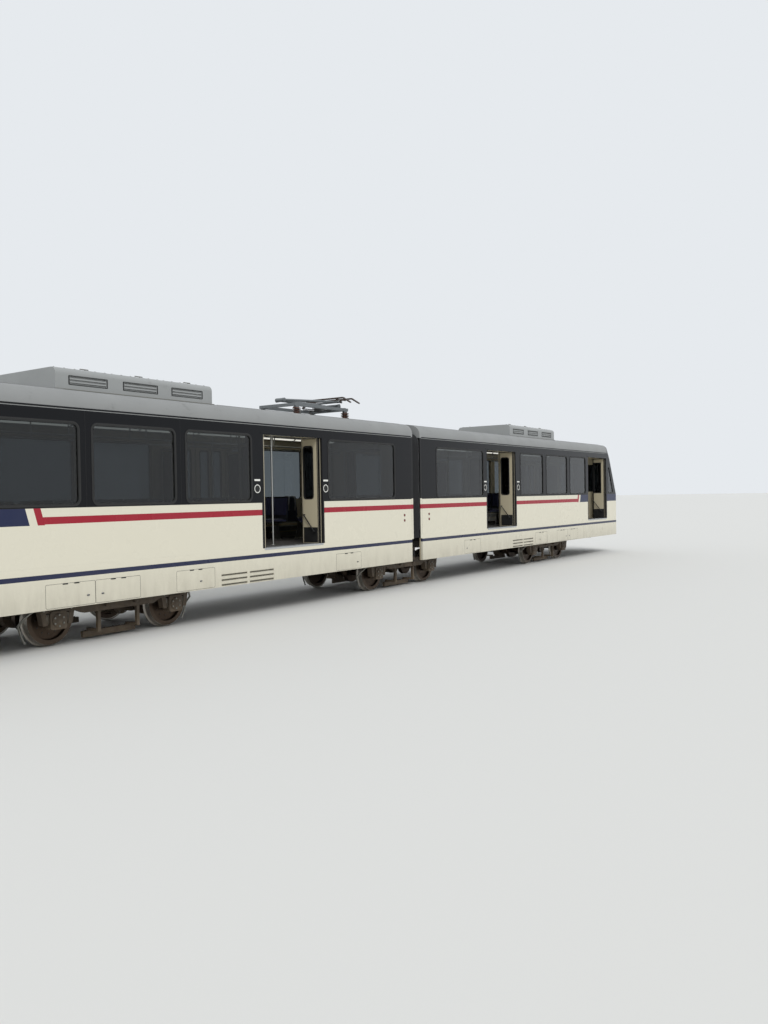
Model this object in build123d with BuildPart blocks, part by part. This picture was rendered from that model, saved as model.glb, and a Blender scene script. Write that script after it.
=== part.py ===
from build123d import *
import math
import os

os.makedirs("parts", exist_ok=True)

# An articulated metro car of two sections on three bogies.
# X runs along the car, -Y is the side whose doors stand open, Z is up.
# Z = 0 is the plane under the wheel flanges, X = Y = 0 is the middle pivot.

# Running gear
flange_depth = 28
wheel_radius = 360
wheel_width = 135
wheel_back = 680
axle_radius = 75
journal_radius = 60
journal_end = 1000
half_wheelbase = 1050
bogie_x = 7720
axle_z = wheel_radius + flange_depth

# Heights of the body
skirt_z = 588
pivot_z = 940
floor_top = 1162
floor_thick = 80
sill_z = 1958
window_bottom = 1992
window_top = 3122
door_top = 3148
cant_z = 3300
shoulder_z = 3560
roof_z = 3690

# Plan of the body
half_width = 1325
wall = 80
gap_half = 150
end_wall = 60
cab_x = 11740
corner_x = 12650
nose_bulge = 300
nose_radius = 180
rake_top = 600
rake_roof = 1000

# Doorways of a section: inner edge, outer edge (clear between the posts)
door_post = 40
panel_seam = 0.4
doorways = (
    (3290, 4910),
    (10060, 11660),
)

# Side windows of a section: first edge, last edge
window_corner = 90
windows = (
    (850, 3100),
    (5200, 6660),
    (6880, 8380),
    (8600, 9850),
)

# Folding door panels
panel_thick = 34
panel_gap = 5
panel_clear = 6
post_clear = 30
door_inset = 50
pin_radius = 10
knuckle_radius = 6
running_gap = 0.3
seam_overlap = 4
door_window = (230, 1250, 60)
door_window_z = 2375
window_shift = 30
leaf_rail = ((330, 1705), (70, 1380))
rail_stand = 38
rail_radius = 11
knuckle_seam = 0.5
knuckle_clear = 2
knuckle_stations = (1400, 2100, 2980)
knuckle_length = 45

side_y = half_width - wall
side_x = gap_half + end_wall
nose_x = corner_x + nose_bulge
nose_arc = (half_width**2 + nose_bulge**2) / (2 * nose_bulge)
nose_centre = nose_x - nose_arc
floor_bottom = floor_top - floor_thick
ends = (("a", -1), ("b", 1))


def nose_outline(setback, inset):
    """Corner x, half width and tip x of the nose outline at one height."""
    radius = nose_arc - inset
    half = half_width - inset
    centre = nose_centre - setback
    return centre + math.sqrt(radius**2 - half**2), half, centre + radius


def rake(z):
    """How far the raked front lies behind the sill line at a height."""
    if z <= sill_z:
        return 0
    if z <= door_top:
        return rake_top * (z - sill_z) / (door_top - sill_z)
    return rake_top + (rake_roof - rake_top) * (z - door_top) / (roof_z - door_top)


# White lower sides, from the skirt's edge to the window sill
segment_edges = [side_x]
for first, last in doorways:
    segment_edges += [first - door_post, last + door_post]
segment_edges.append(cab_x)
segments = list(zip(segment_edges[0::2], segment_edges[1::2]))

grille_rows = (620, 700, 780)
grille_columns = ((4690, 5290), (5350, 5950))
grille_height = 34
grille_depth = 18

with BuildPart() as side_lower:
    for sy in (-1, 1):
        with BuildSketch(Plane.XZ.offset(-sy * half_width)):
            with Locations(((side_x + cab_x) / 2, (skirt_z + floor_top) / 2)):
                Rectangle(cab_x - side_x, floor_top - skirt_z)
            for first, last in segments:
                with Locations(((first + last) / 2, (floor_top + sill_z + panel_seam) / 2)):
                    Rectangle(last - first, sill_z - floor_top - panel_seam)
        extrude(amount=sy * wall)
        with BuildSketch(Plane.XZ.offset(-sy * half_width)):
            for z in grille_rows:
                for first, last in grille_columns:
                    with Locations(((first + last) / 2, z)):
                        Rectangle(last - first, grille_height)
        extrude(amount=sy * grille_depth, mode=Mode.SUBTRACT)

# Dark window band in panels, with the posts and the header of each doorway
with BuildPart() as window_band:
    for sy in (-1, 1):
        with BuildSketch(Plane.XZ.offset(-sy * half_width)):
            for first, last in segments:
                with Locations(((first + last) / 2, (sill_z + cant_z) / 2)):
                    Rectangle(last - first, cant_z - sill_z)
            for first, last in doorways:
                with Locations(((first + last) / 2, (door_top + cant_z) / 2)):
                    Rectangle(last - first + 2 * door_post - 2 * panel_seam, cant_z - door_top)
                for x, away in ((first, -1), (last, 1)):
                    post_x = x + away * (door_post - panel_seam) / 2
                    with Locations((post_x, (floor_top + door_top) / 2)):
                        Rectangle(door_post - panel_seam, door_top - floor_top - 2 * panel_seam)
            for first, last in windows:
                with Locations(((first + last) / 2, (window_bottom + window_top) / 2)):
                    RectangleRounded(
                        last - first,
                        window_top - window_bottom,
                        window_corner,
                        mode=Mode.SUBTRACT,
                    )
        extrude(amount=sy * wall)

# Roof shell with its flat ceiling
roof_wall = 50
roof_round = 220
roof_shapes = (
    (0, roof_round, Mode.ADD),
    (roof_wall, roof_round - roof_wall, Mode.SUBTRACT),
)
with BuildPart() as roof:
    for inset, radius, mode in roof_shapes:
        half = half_width - inset
        with BuildSketch(Plane.YZ.offset(side_x)) as roof_section:
            with BuildLine():
                Polyline(
                    (half, shoulder_z - inset),
                    (half, cant_z + inset),
                    (-half, cant_z + inset),
                    (-half, shoulder_z - inset),
                )
                ThreePointArc(
                    (-half, shoulder_z - inset), (0, roof_z - inset), (half, shoulder_z - inset)
                )
            make_face()
            shoulders = roof_section.vertices().group_by(Axis.Y)[-1]
            fillet(shoulders, radius)
        extrude(amount=cab_x - side_x, mode=mode)

# Cab: white lower mask round the nose
coupler_opening = (800, 772)
pane_round = 45
lamp_rows = (
    # y, z, radius
    (930, 1240, 95),
    (700, 1240, 95),
)
with BuildPart() as cab_lower:
    for inset, mode in ((0, Mode.ADD), (wall, Mode.SUBTRACT)):
        corner, half, tip = nose_outline(0, inset)
        with BuildSketch(Plane.XY.offset(skirt_z)) as mask_plan:
            with BuildLine():
                Polyline((corner, half), (cab_x, half), (cab_x, -half), (corner, -half))
                ThreePointArc((corner, -half), (tip, 0), (corner, half))
            make_face()
            fillet(mask_plan.vertices().group_by(Axis.X)[-1], nose_radius - inset)
        extrude(amount=sill_z - skirt_z, mode=mode)
    with BuildSketch(Plane.YZ.offset(corner_x - 100)):
        with Locations((0, (skirt_z + coupler_opening[1]) / 2)):
            Rectangle(coupler_opening[0], coupler_opening[1] - skirt_z)
    extrude(amount=nose_bulge + 200, mode=Mode.SUBTRACT)
    with BuildSketch(Plane.YZ.offset(corner_x - 200)):
        for y, z, radius in lamp_rows:
            with Locations((y, z), (-y, z)):
                Circle(radius)
    extrude(amount=nose_bulge + 300, mode=Mode.SUBTRACT)

# Cab: raked dark upper part with windscreen and side window openings
screen_opening = (2080, 980, 120)
screen_z = 2570
side_light = (
    (11830, 2010),
    (12290, 2010),
    (11930, 2860),
    (11830, 2860),
)
upper_levels = (sill_z, door_top, roof_z)
inner_levels = (sill_z, door_top, cant_z)
loft_back = cab_x - rake_roof
with BuildPart() as cab_upper:
    for levels, inset, mode in ((upper_levels, 0, Mode.ADD), (inner_levels, wall, Mode.SUBTRACT)):
        for z in levels:
            corner, half, tip = nose_outline(rake(z), inset)
            with BuildSketch(Plane.XY.offset(z)) as cab_plan:
                with BuildLine():
                    Polyline((corner, half), (loft_back, half), (loft_back, -half), (corner, -half))
                    ThreePointArc((corner, -half), (tip, 0), (corner, half))
                make_face()
                fillet(cab_plan.vertices().group_by(Axis.X)[-1], nose_radius - inset)
        loft(ruled=True, mode=mode)
        if mode == Mode.ADD:
            with BuildSketch(Plane.YZ.offset(cab_x)) as cab_section:
                with BuildLine():
                    Polyline(
                        (half_width, shoulder_z),
                        (half_width, sill_z),
                        (-half_width, sill_z),
                        (-half_width, shoulder_z),
                    )
                    ThreePointArc((-half_width, shoulder_z), (0, roof_z), (half_width, shoulder_z))
                make_face()
                fillet(cab_section.vertices().group_by(Axis.Y)[-1], roof_round)
            extrude(amount=nose_x - cab_x, mode=Mode.INTERSECT)
    with BuildSketch(Plane.YZ.offset(cab_x + 150)):
        with Locations((0, screen_z)):
            RectangleRounded(*screen_opening)
    extrude(amount=nose_x - cab_x, mode=Mode.SUBTRACT)
    with BuildSketch(Plane.XZ.offset(half_width + 1)) as side_cut:
        with BuildLine():
            Polyline(*side_light, close=True)
        make_face()
        fillet(side_cut.vertices(), pane_round)
    extrude(amount=-2 * half_width - 2, mode=Mode.SUBTRACT)

# Glass: raked windscreen, cab side lights and the side windows
glass_thick = 10
glass_inset = 14
with BuildPart() as glazing:
    for inset, mode in ((glass_inset, Mode.ADD), (glass_inset + glass_thick, Mode.SUBTRACT)):
        for z in (sill_z, door_top):
            corner, half, tip = nose_outline(rake(z), inset)
            with BuildSketch(Plane.XY.offset(z)) as pane_plan:
                with BuildLine():
                    Polyline((corner, half), (cab_x, half), (cab_x, -half), (corner, -half))
                    ThreePointArc((corner, -half), (tip, 0), (corner, half))
                make_face()
        loft(ruled=True, mode=mode)
        if mode == Mode.ADD:
            with BuildSketch(Plane.YZ.offset(cab_x + 150)):
                with Locations((0, screen_z)):
                    RectangleRounded(
                        screen_opening[0] - 2 * running_gap,
                        screen_opening[1] - 2 * running_gap,
                        screen_opening[2],
                    )
            extrude(amount=nose_x - cab_x, mode=Mode.INTERSECT)
    for sy in (-1, 1):
        pane_y = half_width - glass_inset
        with BuildSketch(Plane.XZ.offset(-sy * pane_y)):
            for first, last in windows:
                with Locations(((first + last) / 2, (window_bottom + window_top) / 2)):
                    RectangleRounded(
                        last - first - 2 * running_gap,
                        window_top - window_bottom - 2 * running_gap,
                        window_corner,
                    )
        extrude(amount=sy * glass_thick)
        with BuildSketch(Plane.XZ.offset(-sy * pane_y)) as side_pane:
            with BuildLine():
                Polyline(*side_light, close=True)
            make_face()
            fillet(side_pane.vertices(), pane_round)
            offset(amount=-running_gap, mode=Mode.REPLACE)
        extrude(amount=sy * glass_thick)

# End wall with the gangway opening, and the cab partition with its doorway
gangway = (1000, 3100)
cab_door = (640, 3050)
partition_thick = 40
with BuildPart() as bulkheads:
    with BuildSketch(Plane.YZ.offset(gap_half)) as end_section:
        with BuildLine():
            Polyline(
                (half_width, shoulder_z),
                (half_width, floor_bottom),
                (-half_width, floor_bottom),
                (-half_width, shoulder_z),
            )
            ThreePointArc((-half_width, shoulder_z), (0, roof_z), (half_width, shoulder_z))
        make_face()
        fillet(end_section.vertices().group_by(Axis.Y)[-1], roof_round)
        with Locations((0, (floor_top + gangway[1]) / 2)):
            Rectangle(gangway[0], gangway[1] - floor_top, mode=Mode.SUBTRACT)
    extrude(amount=end_wall)
    with BuildSketch(Plane.YZ.offset(cab_x - partition_thick)):
        with Locations((0, (floor_top + cant_z) / 2)):
            Rectangle(2 * side_y, cant_z - floor_top)
        with Locations((0, (floor_top + cab_door[1]) / 2)):
            Rectangle(cab_door[0], cab_door[1] - floor_top, mode=Mode.SUBTRACT)
    extrude(amount=partition_thick)

# Seats: middle of the cushion, +1 faces the cab
seat_rows = (
    (800, 1),
    (1900, -1),
    (2600, 1),
    (5450, -1),
    (6300, 1),
    (7300, -1),
    (8150, 1),
    (9300, -1),
)
seat_width = 900
seat_depth = 450
seat_height = 430
back_height = 900
back_thick = 80
back_recline = 60
cushion_thick = 90
leg_width = 240
seat_chamfer = 20
driver_x = 12040
driver_y = -620
driver_width = 460
pedestal_radius = 60


def seat_outline(x, facing):
    """Side outline of a seat whose cushion is centred on x."""
    front = x + facing * seat_depth / 2
    rear = x - facing * seat_depth / 2
    hip = rear + facing * back_thick
    lean = facing * back_recline
    top = floor_top + back_height
    cushion_top = floor_top + seat_height
    cushion_foot = cushion_top - cushion_thick
    return (
        (front, cushion_foot),
        (front, cushion_top),
        (hip, cushion_top),
        (hip - lean, top),
        (rear - lean, top),
        (rear, cushion_top),
        (rear, cushion_foot),
    )


with BuildPart() as seats:
    for sy in (-1, 1):
        for x, facing in seat_rows:
            with BuildSketch(Plane.XZ.offset(-sy * side_y)) as seat_side:
                with BuildLine():
                    Polyline(*seat_outline(x, facing), close=True)
                make_face()
                chamfer(seat_side.vertices(), seat_chamfer)
                with Locations((x, floor_top + (seat_height - cushion_thick) / 2)):
                    Rectangle(leg_width, seat_height - cushion_thick)
            extrude(amount=sy * seat_width)
    with BuildSketch(Plane.XZ.offset(-driver_y - driver_width / 2)) as driver_side:
        with BuildLine():
            Polyline(*seat_outline(driver_x, 1), close=True)
        make_face()
        chamfer(driver_side.vertices(), seat_chamfer)
    extrude(amount=driver_width)
    with BuildSketch(Plane.XY.offset(floor_top)):
        with Locations((driver_x, driver_y)):
            Circle(pedestal_radius)
    extrude(amount=seat_height - cushion_thick / 2)

# Screens beside the doorways, each with its grab pole
screen_depth = 440
screen_thick = 20
pole_radius = 17
desk_half = 800
desk_x = (12300, 12690)
desk_top = 1960
desk_edge = 140
desk_rise = 40
desk_depth = 260
desk_foot = (65, 50)
screen_head = 300
screen_edges = (
    doorways[0][0] - door_post,
    doorways[0][1] + door_post,
    doorways[1][0] - door_post,
)
with BuildPart() as screens:
    for x, away in zip(screen_edges, (-1, 1, -1)):
        for sy in (-1, 1):
            with Locations((x + away * screen_thick / 2, sy * (side_y - screen_depth / 2), floor_top)):
                Box(
                    screen_thick,
                    screen_depth,
                    cant_z - floor_top - screen_head,
                    align=(Align.CENTER, Align.CENTER, Align.MIN),
                )
            with Locations((x + away * screen_thick / 2, sy * (side_y - screen_depth), floor_top)):
                Cylinder(
                    pole_radius,
                    cant_z - floor_top,
                    align=(Align.CENTER, Align.CENTER, Align.MIN),
                )

    # Driver's desk on its foot
    with BuildSketch(Plane.XZ.offset(-desk_half)):
        with BuildLine():
            Polyline(
                (desk_x[0], desk_top - desk_edge),
                (desk_x[0], desk_top - desk_rise),
                (desk_x[0] + desk_edge, desk_top),
                (desk_x[1], desk_top + desk_rise),
                (desk_x[1], desk_top - desk_depth),
                (desk_x[0] + desk_edge, desk_top - desk_depth),
                close=True,
            )
        make_face()
        with Locations((desk_x[0] + desk_foot[0], (floor_top + desk_top - desk_edge) / 2)):
            Rectangle(desk_foot[1], desk_top - desk_edge - floor_top)
    extrude(amount=2 * desk_half)

# Equipment boxes and air reservoirs under the floor: first x, last x, lowest z
box_inner = 470
box_outer = side_y - 115
equipment = (
    (1750, 3050, 690),
    (3250, 4450, 640),
    (4650, 5950, 690),
    (9500, 10500, 660),
    (10700, 11900, 700),
)
reservoir_x = (3300, 4350)
reservoir_y = 190
reservoir_z = 850
reservoir_radius = 135
strap_inset = 180
strap_width = 40
strap_clear = 6
with BuildPart() as underfloor:
    for sy in (-1, 1):
        for first, last, bottom in equipment:
            with BuildSketch(Plane.XY.offset(bottom)):
                with Locations(((first + last) / 2, sy * (box_inner + box_outer) / 2)):
                    Rectangle(last - first, box_outer - box_inner)
            extrude(amount=floor_bottom - bottom)
    for y in (-reservoir_y, reservoir_y):
        with BuildSketch(Plane.YZ.offset(reservoir_x[0])):
            with Locations((y, reservoir_z)):
                Circle(reservoir_radius)
        extrude(amount=reservoir_x[1] - reservoir_x[0])
        with BuildSketch(Plane.XY.offset(reservoir_z)):
            for x in (reservoir_x[0] + strap_inset, reservoir_x[1] - strap_inset):
                with Locations((x, y)):
                    Rectangle(strap_width, 2 * (reservoir_radius + strap_clear))
        extrude(amount=floor_bottom - reservoir_z)

# Roof unit with side louvres and fan wells, its foot follows the crown of the roof
crown_arc = (half_width**2 + (roof_z - shoulder_z) ** 2) / (2 * (roof_z - shoulder_z))
unit_half = 820
unit_top = 3960
unit_x = (5600, 8600)
louvre_columns = (6150, 7100, 8050)
louvre_rows = (3740, 3785, 3830)
louvre_length = 620
louvre_height = 22
louvre_depth = 25
fan_columns = (6250, 7100, 7950)
fan_radius = 300
fan_depth = 90
fan_guard = 12
fan_hub = 90
fan_bar = 24
unit_foot = roof_z - crown_arc + math.sqrt(crown_arc**2 - unit_half**2)
with BuildPart() as roof_unit:
    with BuildSketch(Plane.YZ.offset(unit_x[0])) as unit_section:
        with BuildLine():
            Polyline(
                (-unit_half, unit_foot),
                (-unit_half, unit_top),
                (unit_half, unit_top),
                (unit_half, unit_foot),
            )
            ThreePointArc((unit_half, unit_foot), (0, roof_z), (-unit_half, unit_foot))
        make_face()
        fillet(unit_section.vertices().group_by(Axis.Y)[-1], 90)
    extrude(amount=unit_x[1] - unit_x[0])
    for sy in (-1, 1):
        with BuildSketch(Plane.XZ.offset(-sy * unit_half)):
            for x in louvre_columns:
                for z in louvre_rows:
                    with Locations((x, z)):
                        Rectangle(louvre_length, louvre_height)
        extrude(amount=sy * louvre_depth, mode=Mode.SUBTRACT)
    with BuildSketch(Plane.XY.offset(unit_top)):
        with Locations(*[(x, 0) for x in fan_columns]):
            Circle(fan_radius)
    extrude(amount=-fan_depth, mode=Mode.SUBTRACT)
    with BuildSketch(Plane.XY.offset(unit_top - fan_depth)):
        for x in fan_columns:
            with Locations((x, 0)):
                Circle(fan_hub)
                Rectangle(2 * fan_radius + seam_overlap, fan_bar)
                Rectangle(fan_bar, 2 * fan_radius + seam_overlap)
    extrude(amount=fan_depth - fan_guard)

# Head and tail lamps in the mask, and the two side marker lamps by the joint
lamp_stand = 8
lamp_depth = 130
marker_radius = 28
marker_x = 500
marker_rows = (1498, 1612)
with BuildPart() as lamps:
    for y, z, radius in lamp_rows:
        face_x = nose_centre + math.sqrt(nose_arc**2 - y**2)
        for sy in (-1, 1):
            with BuildSketch(Plane.YZ.offset(face_x - lamp_depth)):
                with Locations((sy * y, z)):
                    Circle(radius - running_gap)
            extrude(amount=lamp_depth + lamp_stand)
    for sy in (-1, 1):
        with BuildSketch(Plane.XZ.offset(-sy * half_width)):
            with Locations(*[(marker_x, z) for z in marker_rows]):
                Circle(marker_radius)
        extrude(amount=-sy * lamp_stand)

# Doors of the far side, shut: four panels fill each doorway
far_y = half_width - door_inset
leaf_seam = 4
with BuildPart() as far_doors:
    for first, last in doorways:
        pitch = (last - first) / 4
        for index in range(4):
            with BuildSketch(Plane.XZ.offset(-far_y - panel_thick / 2)):
                with Locations((first + (index + 0.5) * pitch, (floor_top + door_top) / 2)):
                    Rectangle(pitch - leaf_seam, door_top - floor_top)
                shift = window_shift if index in (0, 2) else -window_shift
                with Locations((first + (index + 0.5) * pitch + shift, door_window_z)):
                    RectangleRounded(*door_window, mode=Mode.SUBTRACT)
            extrude(amount=panel_thick)

shell = (
    ("side_lower", side_lower),
    ("window_band", window_band),
    ("cab_lower", cab_lower),
    ("cab_upper", cab_upper),
    ("roof", roof),
    ("bulkheads", bulkheads),
    ("glazing", glazing),
    ("seats", seats),
    ("screens", screens),
    ("underfloor", underfloor),
    ("roof_unit", roof_unit),
    ("lamps", lamps),
    ("far_doors", far_doors),
)
for name, piece in shell:
    right = piece.part
    left = mirror(right, about=Plane.YZ)
    for end, solid in (("b", right), ("a", left)):
        solid.label = f"{name}_{end}"
        export_step(solid, f"parts/{name}_{end}.step")

# Floors with sills, bolster, the pivot tongue of the joint and the coupler's bracket
floor_end = 12400
sill_y = 400
sill_width = 100
bolster_half = 350
bolster_width = 1150
tongue_thick = 58
tongue_radius = 320
tongue_width = 300
tongue_root = 600
pin_joint = 58
tongue_levels = {"a": pivot_z, "b": pivot_z + tongue_thick + running_gap}
draft_x = 12300
draft_half = 110
draft_bottom = 620
draft_pin = 40
draft_depth = 80
draft_width = 300
cross_width = 200
for end, sx in ends:
    with BuildPart() as floor:
        with BuildSketch(Plane.XY.offset(floor_bottom)):
            with Locations((sx * (side_x + floor_end) / 2, 0)):
                Rectangle(floor_end - side_x, 2 * side_y)
        extrude(amount=floor_thick)
        with BuildSketch(Plane.XY.offset(pivot_z)):
            for sy in (-1, 1):
                with Locations((sx * (tongue_root + floor_end) / 2, sy * sill_y)):
                    Rectangle(floor_end - tongue_root, sill_width)
            with Locations((sx * bogie_x, 0)):
                Rectangle(2 * bolster_half, 2 * bolster_width)
            with Locations((sx * (tongue_root + cross_width / 2), 0)):
                Rectangle(cross_width, 2 * sill_y + sill_width)
            with Locations((sx * draft_x, 0)):
                Rectangle(2 * draft_half, 2 * sill_y)
        extrude(amount=floor_bottom - pivot_z)
        with BuildSketch(Plane.XY.offset(tongue_levels[end])):
            Circle(tongue_radius)
            with Locations((sx * tongue_root / 2, 0)):
                Rectangle(tongue_root + seam_overlap, tongue_width)
            Circle(pin_joint + running_gap, mode=Mode.SUBTRACT)
        extrude(amount=tongue_thick)
        with BuildSketch(Plane.XY.offset(draft_bottom)):
            with Locations((sx * draft_x, 0)):
                Rectangle(2 * draft_half, draft_width)
        extrude(amount=pivot_z - draft_bottom)
        with BuildSketch(Plane.XY.offset(draft_bottom)):
            with Locations((sx * draft_x, 0)):
                Circle(draft_pin + running_gap)
        extrude(amount=draft_depth, mode=Mode.SUBTRACT)
    floor.part.label = f"floor_{end}"
    export_step(floor.part, f"parts/floor_{end}.step")

# Frame of the gangway in the joint: thin at the sides, where the sections close in
ring_half = 1200
ring_bottom = 1066
ring_top = 3350
ring_middle = 140
ring_edge = 46
ring_passage = (960, 3060)
with BuildPart() as gangway_frame:
    with BuildSketch(Plane.XY.offset(ring_bottom)):
        with BuildLine():
            Polyline(
                (-ring_middle, 0),
                (-ring_edge, -ring_half),
                (ring_edge, -ring_half),
                (ring_middle, 0),
                (ring_edge, ring_half),
                (-ring_edge, ring_half),
                close=True,
            )
        make_face()
    extrude(amount=ring_top - ring_bottom)
    with BuildSketch(Plane.YZ.offset(-ring_middle - 1)):
        with Locations((0, (floor_top + ring_passage[1]) / 2)):
            Rectangle(ring_passage[0], ring_passage[1] - floor_top)
    extrude(amount=2 * ring_middle + 2, mode=Mode.SUBTRACT)
gangway_frame.part.label = "gangway_frame"
export_step(gangway_frame.part, "parts/gangway_frame.step")

# Bogies: frame with axle boxes, springs, bolster, motors and track brakes
beam_y = 950
beam_width = 110
beam_z = (500, 630)
beam_overhang = 300
beam_half = half_wheelbase + beam_overhang
belly_half = 620
belly_z = 440
shoulder_half = 760
beam_outline = (
    # along, height
    (-beam_half, beam_z[0] + 40),
    (-beam_half, beam_z[1] - 20),
    (20 - beam_half, beam_z[1]),
    (beam_half - 20, beam_z[1]),
    (beam_half, beam_z[1] - 20),
    (beam_half, beam_z[0] + 40),
    (beam_half - 120, beam_z[0]),
    (shoulder_half, beam_z[0]),
    (belly_half, belly_z),
    (-belly_half, belly_z),
    (-shoulder_half, beam_z[0]),
    (120 - beam_half, beam_z[0]),
)
leg_gap = 70
leg_foot = 330
leg_outline = (
    # away from the box, height
    (0, beam_z[1]),
    (-40, leg_foot),
    (30, leg_foot),
    (90, beam_z[1]),
)
chevron_width = 90
chevron_bite = 15
chevron_inset = 20
damper_x = 260
damper_y = 1045
damper_radius = 32
damper_arm = (50, 40)
box_half = 130
box_bottom = 262
box_depth = 150
box_bite = 20
box_round = 40
transom_half = 180
spring_y = 760
spring_radius = 165
bolster_z = (800, 880)
bolster_x = 170
bolster_y = 930
ring_radius = 300
motor_x = 560
motor_radius = 165
motor_half = 310
motor_z = axle_z + 12
motor_bracket = (260, 90)
gear_y = (60, 220)
gear_radii = (150, 190)
gear_clear = 6
disc_radius = 215
disc_thick = 90
disc_y = -250
disc_clear = 8
caliper_size = (110, 180, 150)
caliper_clear = 5
caliper_arm = 60
brake_y = 717
brake_width = 60
brake_height = 90
brake_half = 470
brake_clear = 10
brake_bottom = flange_depth + brake_clear
hanger_x = 350
hanger_width = 50
hanger_thick = 40
bogies = (("a", -bogie_x), ("c", 0), ("b", bogie_x))
with BuildPart() as bogie_frame:
    with BuildSketch(Plane.XY.offset(beam_z[0])):
        Rectangle(2 * transom_half, 2 * beam_y)
    extrude(amount=beam_z[1] - beam_z[0])
    for sy in (-1, 1):
        # Side beam with the legs that hold the axle boxes
        with BuildSketch(Plane.XZ.offset(-sy * (beam_y - beam_width / 2))):
            with BuildLine():
                Polyline(*beam_outline, close=True)
            make_face()
            for sx in (-1, 1):
                for side in (-1, 1):
                    leg_x = sx * half_wheelbase + side * (box_half + leg_gap)
                    with BuildLine():
                        Polyline(*[(leg_x + side * dx, z) for dx, z in leg_outline], close=True)
                    make_face()
        extrude(amount=-sy * beam_width)
        with BuildSketch(Plane.XZ.offset(-sy * (beam_y - chevron_width / 2))):
            for sx in (-1, 1):
                for side in (-1, 1):
                    chevron_x = sx * half_wheelbase + side * (box_half + leg_gap / 2)
                    with Locations((chevron_x, (leg_foot + beam_z[0]) / 2)):
                        Rectangle(leg_gap + 2 * chevron_bite, beam_z[0] - leg_foot - 2 * chevron_inset)
        extrude(amount=-sy * chevron_width)
        # Upright dampers with their lower arms and the arm of the bolster
        with BuildSketch(Plane.XY.offset(beam_z[0])):
            with Locations(*[(sx * damper_x, sy * damper_y) for sx in (-1, 1)]):
                Circle(damper_radius)
        extrude(amount=bolster_z[1] - beam_z[0])
        with BuildSketch(Plane.XY.offset(beam_z[0] + damper_arm[1] / 2)):
            with Locations(*[(sx * damper_x, sy * (beam_y + damper_y) / 2) for sx in (-1, 1)]):
                Rectangle(damper_arm[0], damper_y - beam_y)
        extrude(amount=damper_arm[1])
        with BuildSketch(Plane.XY.offset(bolster_z[0])):
            with Locations((0, sy * (bolster_y + damper_y) / 2)):
                Rectangle(2 * damper_x + damper_arm[0], damper_y - bolster_y + damper_radius)
        extrude(amount=damper_arm[1])
        # Axle boxes and springs
        with BuildSketch(Plane.XZ.offset(-sy * (beam_y - box_depth / 2))):
            for sx in (-1, 1):
                with Locations((sx * half_wheelbase, (box_bottom + beam_z[0] + box_bite) / 2)):
                    RectangleRounded(2 * box_half, beam_z[0] - box_bottom + box_bite, box_round)
                with Locations((sx * half_wheelbase, axle_z)):
                    Circle(journal_radius + running_gap, mode=Mode.SUBTRACT)
        extrude(amount=-sy * box_depth)
        with Locations((0, sy * spring_y, beam_z[1])):
            Cylinder(
                spring_radius,
                bolster_z[0] - beam_z[1],
                align=(Align.CENTER, Align.CENTER, Align.MIN),
            )
    with BuildSketch(Plane.XY.offset(bolster_z[0])):
        Rectangle(2 * bolster_x, 2 * bolster_y)
    extrude(amount=bolster_z[1] - bolster_z[0])
    with BuildSketch(Plane.XY.offset(bolster_z[1])):
        Circle(ring_radius)
    extrude(amount=pivot_z - running_gap - bolster_z[1])
    for sx in (-1, 1):
        # Motor, its bracket, and the gear case round the axle
        with BuildSketch(Plane.XZ.offset(-motor_half)):
            with Locations((sx * motor_x, motor_z)):
                Circle(motor_radius)
        extrude(amount=2 * motor_half)
        with Locations((sx * (transom_half + motor_x) / 2, 0, beam_z[0])):
            Box(motor_x - transom_half + seam_overlap, motor_bracket[0], motor_bracket[1])
        with BuildSketch(Plane.XZ.offset(-gear_y[0])):
            with Locations((sx * motor_x, motor_z)):
                Circle(gear_radii[0])
            with Locations((sx * half_wheelbase, axle_z)):
                Circle(gear_radii[1])
            with Locations((sx * (motor_x + half_wheelbase) / 2, axle_z)):
                Rectangle(half_wheelbase - motor_x, 2 * gear_radii[0])
            with Locations((sx * half_wheelbase, axle_z)):
                Circle(axle_radius + gear_clear, mode=Mode.SUBTRACT)
        extrude(amount=gear_y[0] - gear_y[1])
        # Caliper over the brake disc, on its arm
        caliper_x = half_wheelbase - disc_radius
        with Locations((sx * caliper_x, disc_y, axle_z)):
            Box(*caliper_size)
        with Locations((sx * (caliper_x + caliper_size[0] / 2 - caliper_clear), disc_y, axle_z)):
            Box(
                caliper_size[0],
                disc_thick + 2 * disc_clear,
                caliper_size[2],
                mode=Mode.SUBTRACT,
            )
        arm_end = caliper_x - caliper_size[0] / 2 + seam_overlap
        with Locations((sx * (motor_x + arm_end) / 2, disc_y, axle_z)):
            Box(arm_end - motor_x, caliper_arm, caliper_arm)
    for sy in (-1, 1):
        # Track brake hung from the side beam
        with BuildSketch(Plane.XY.offset(brake_bottom)):
            with Locations((0, sy * brake_y)):
                Rectangle(2 * brake_half, brake_width)
        extrude(amount=brake_height)
        with BuildSketch(Plane.XY.offset(brake_bottom + brake_height)):
            with Locations(*[(sx * hanger_x, sy * (brake_y + beam_y) / 2) for sx in (-1, 1)]):
                Rectangle(hanger_width, beam_y - brake_y + hanger_width)
        extrude(amount=hanger_thick)
        with BuildSketch(Plane.XY.offset(brake_bottom + brake_height)):
            with Locations(*[(sx * hanger_x, sy * beam_y) for sx in (-1, 1)]):
                Rectangle(hanger_width, hanger_width)
        extrude(amount=beam_z[0] - brake_bottom - brake_height)
with BuildPart() as joint_pin:
    with BuildSketch(Plane.XY.offset(bolster_z[1])):
        Circle(pin_joint)
    extrude(amount=ring_bottom - bolster_z[1])
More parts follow.
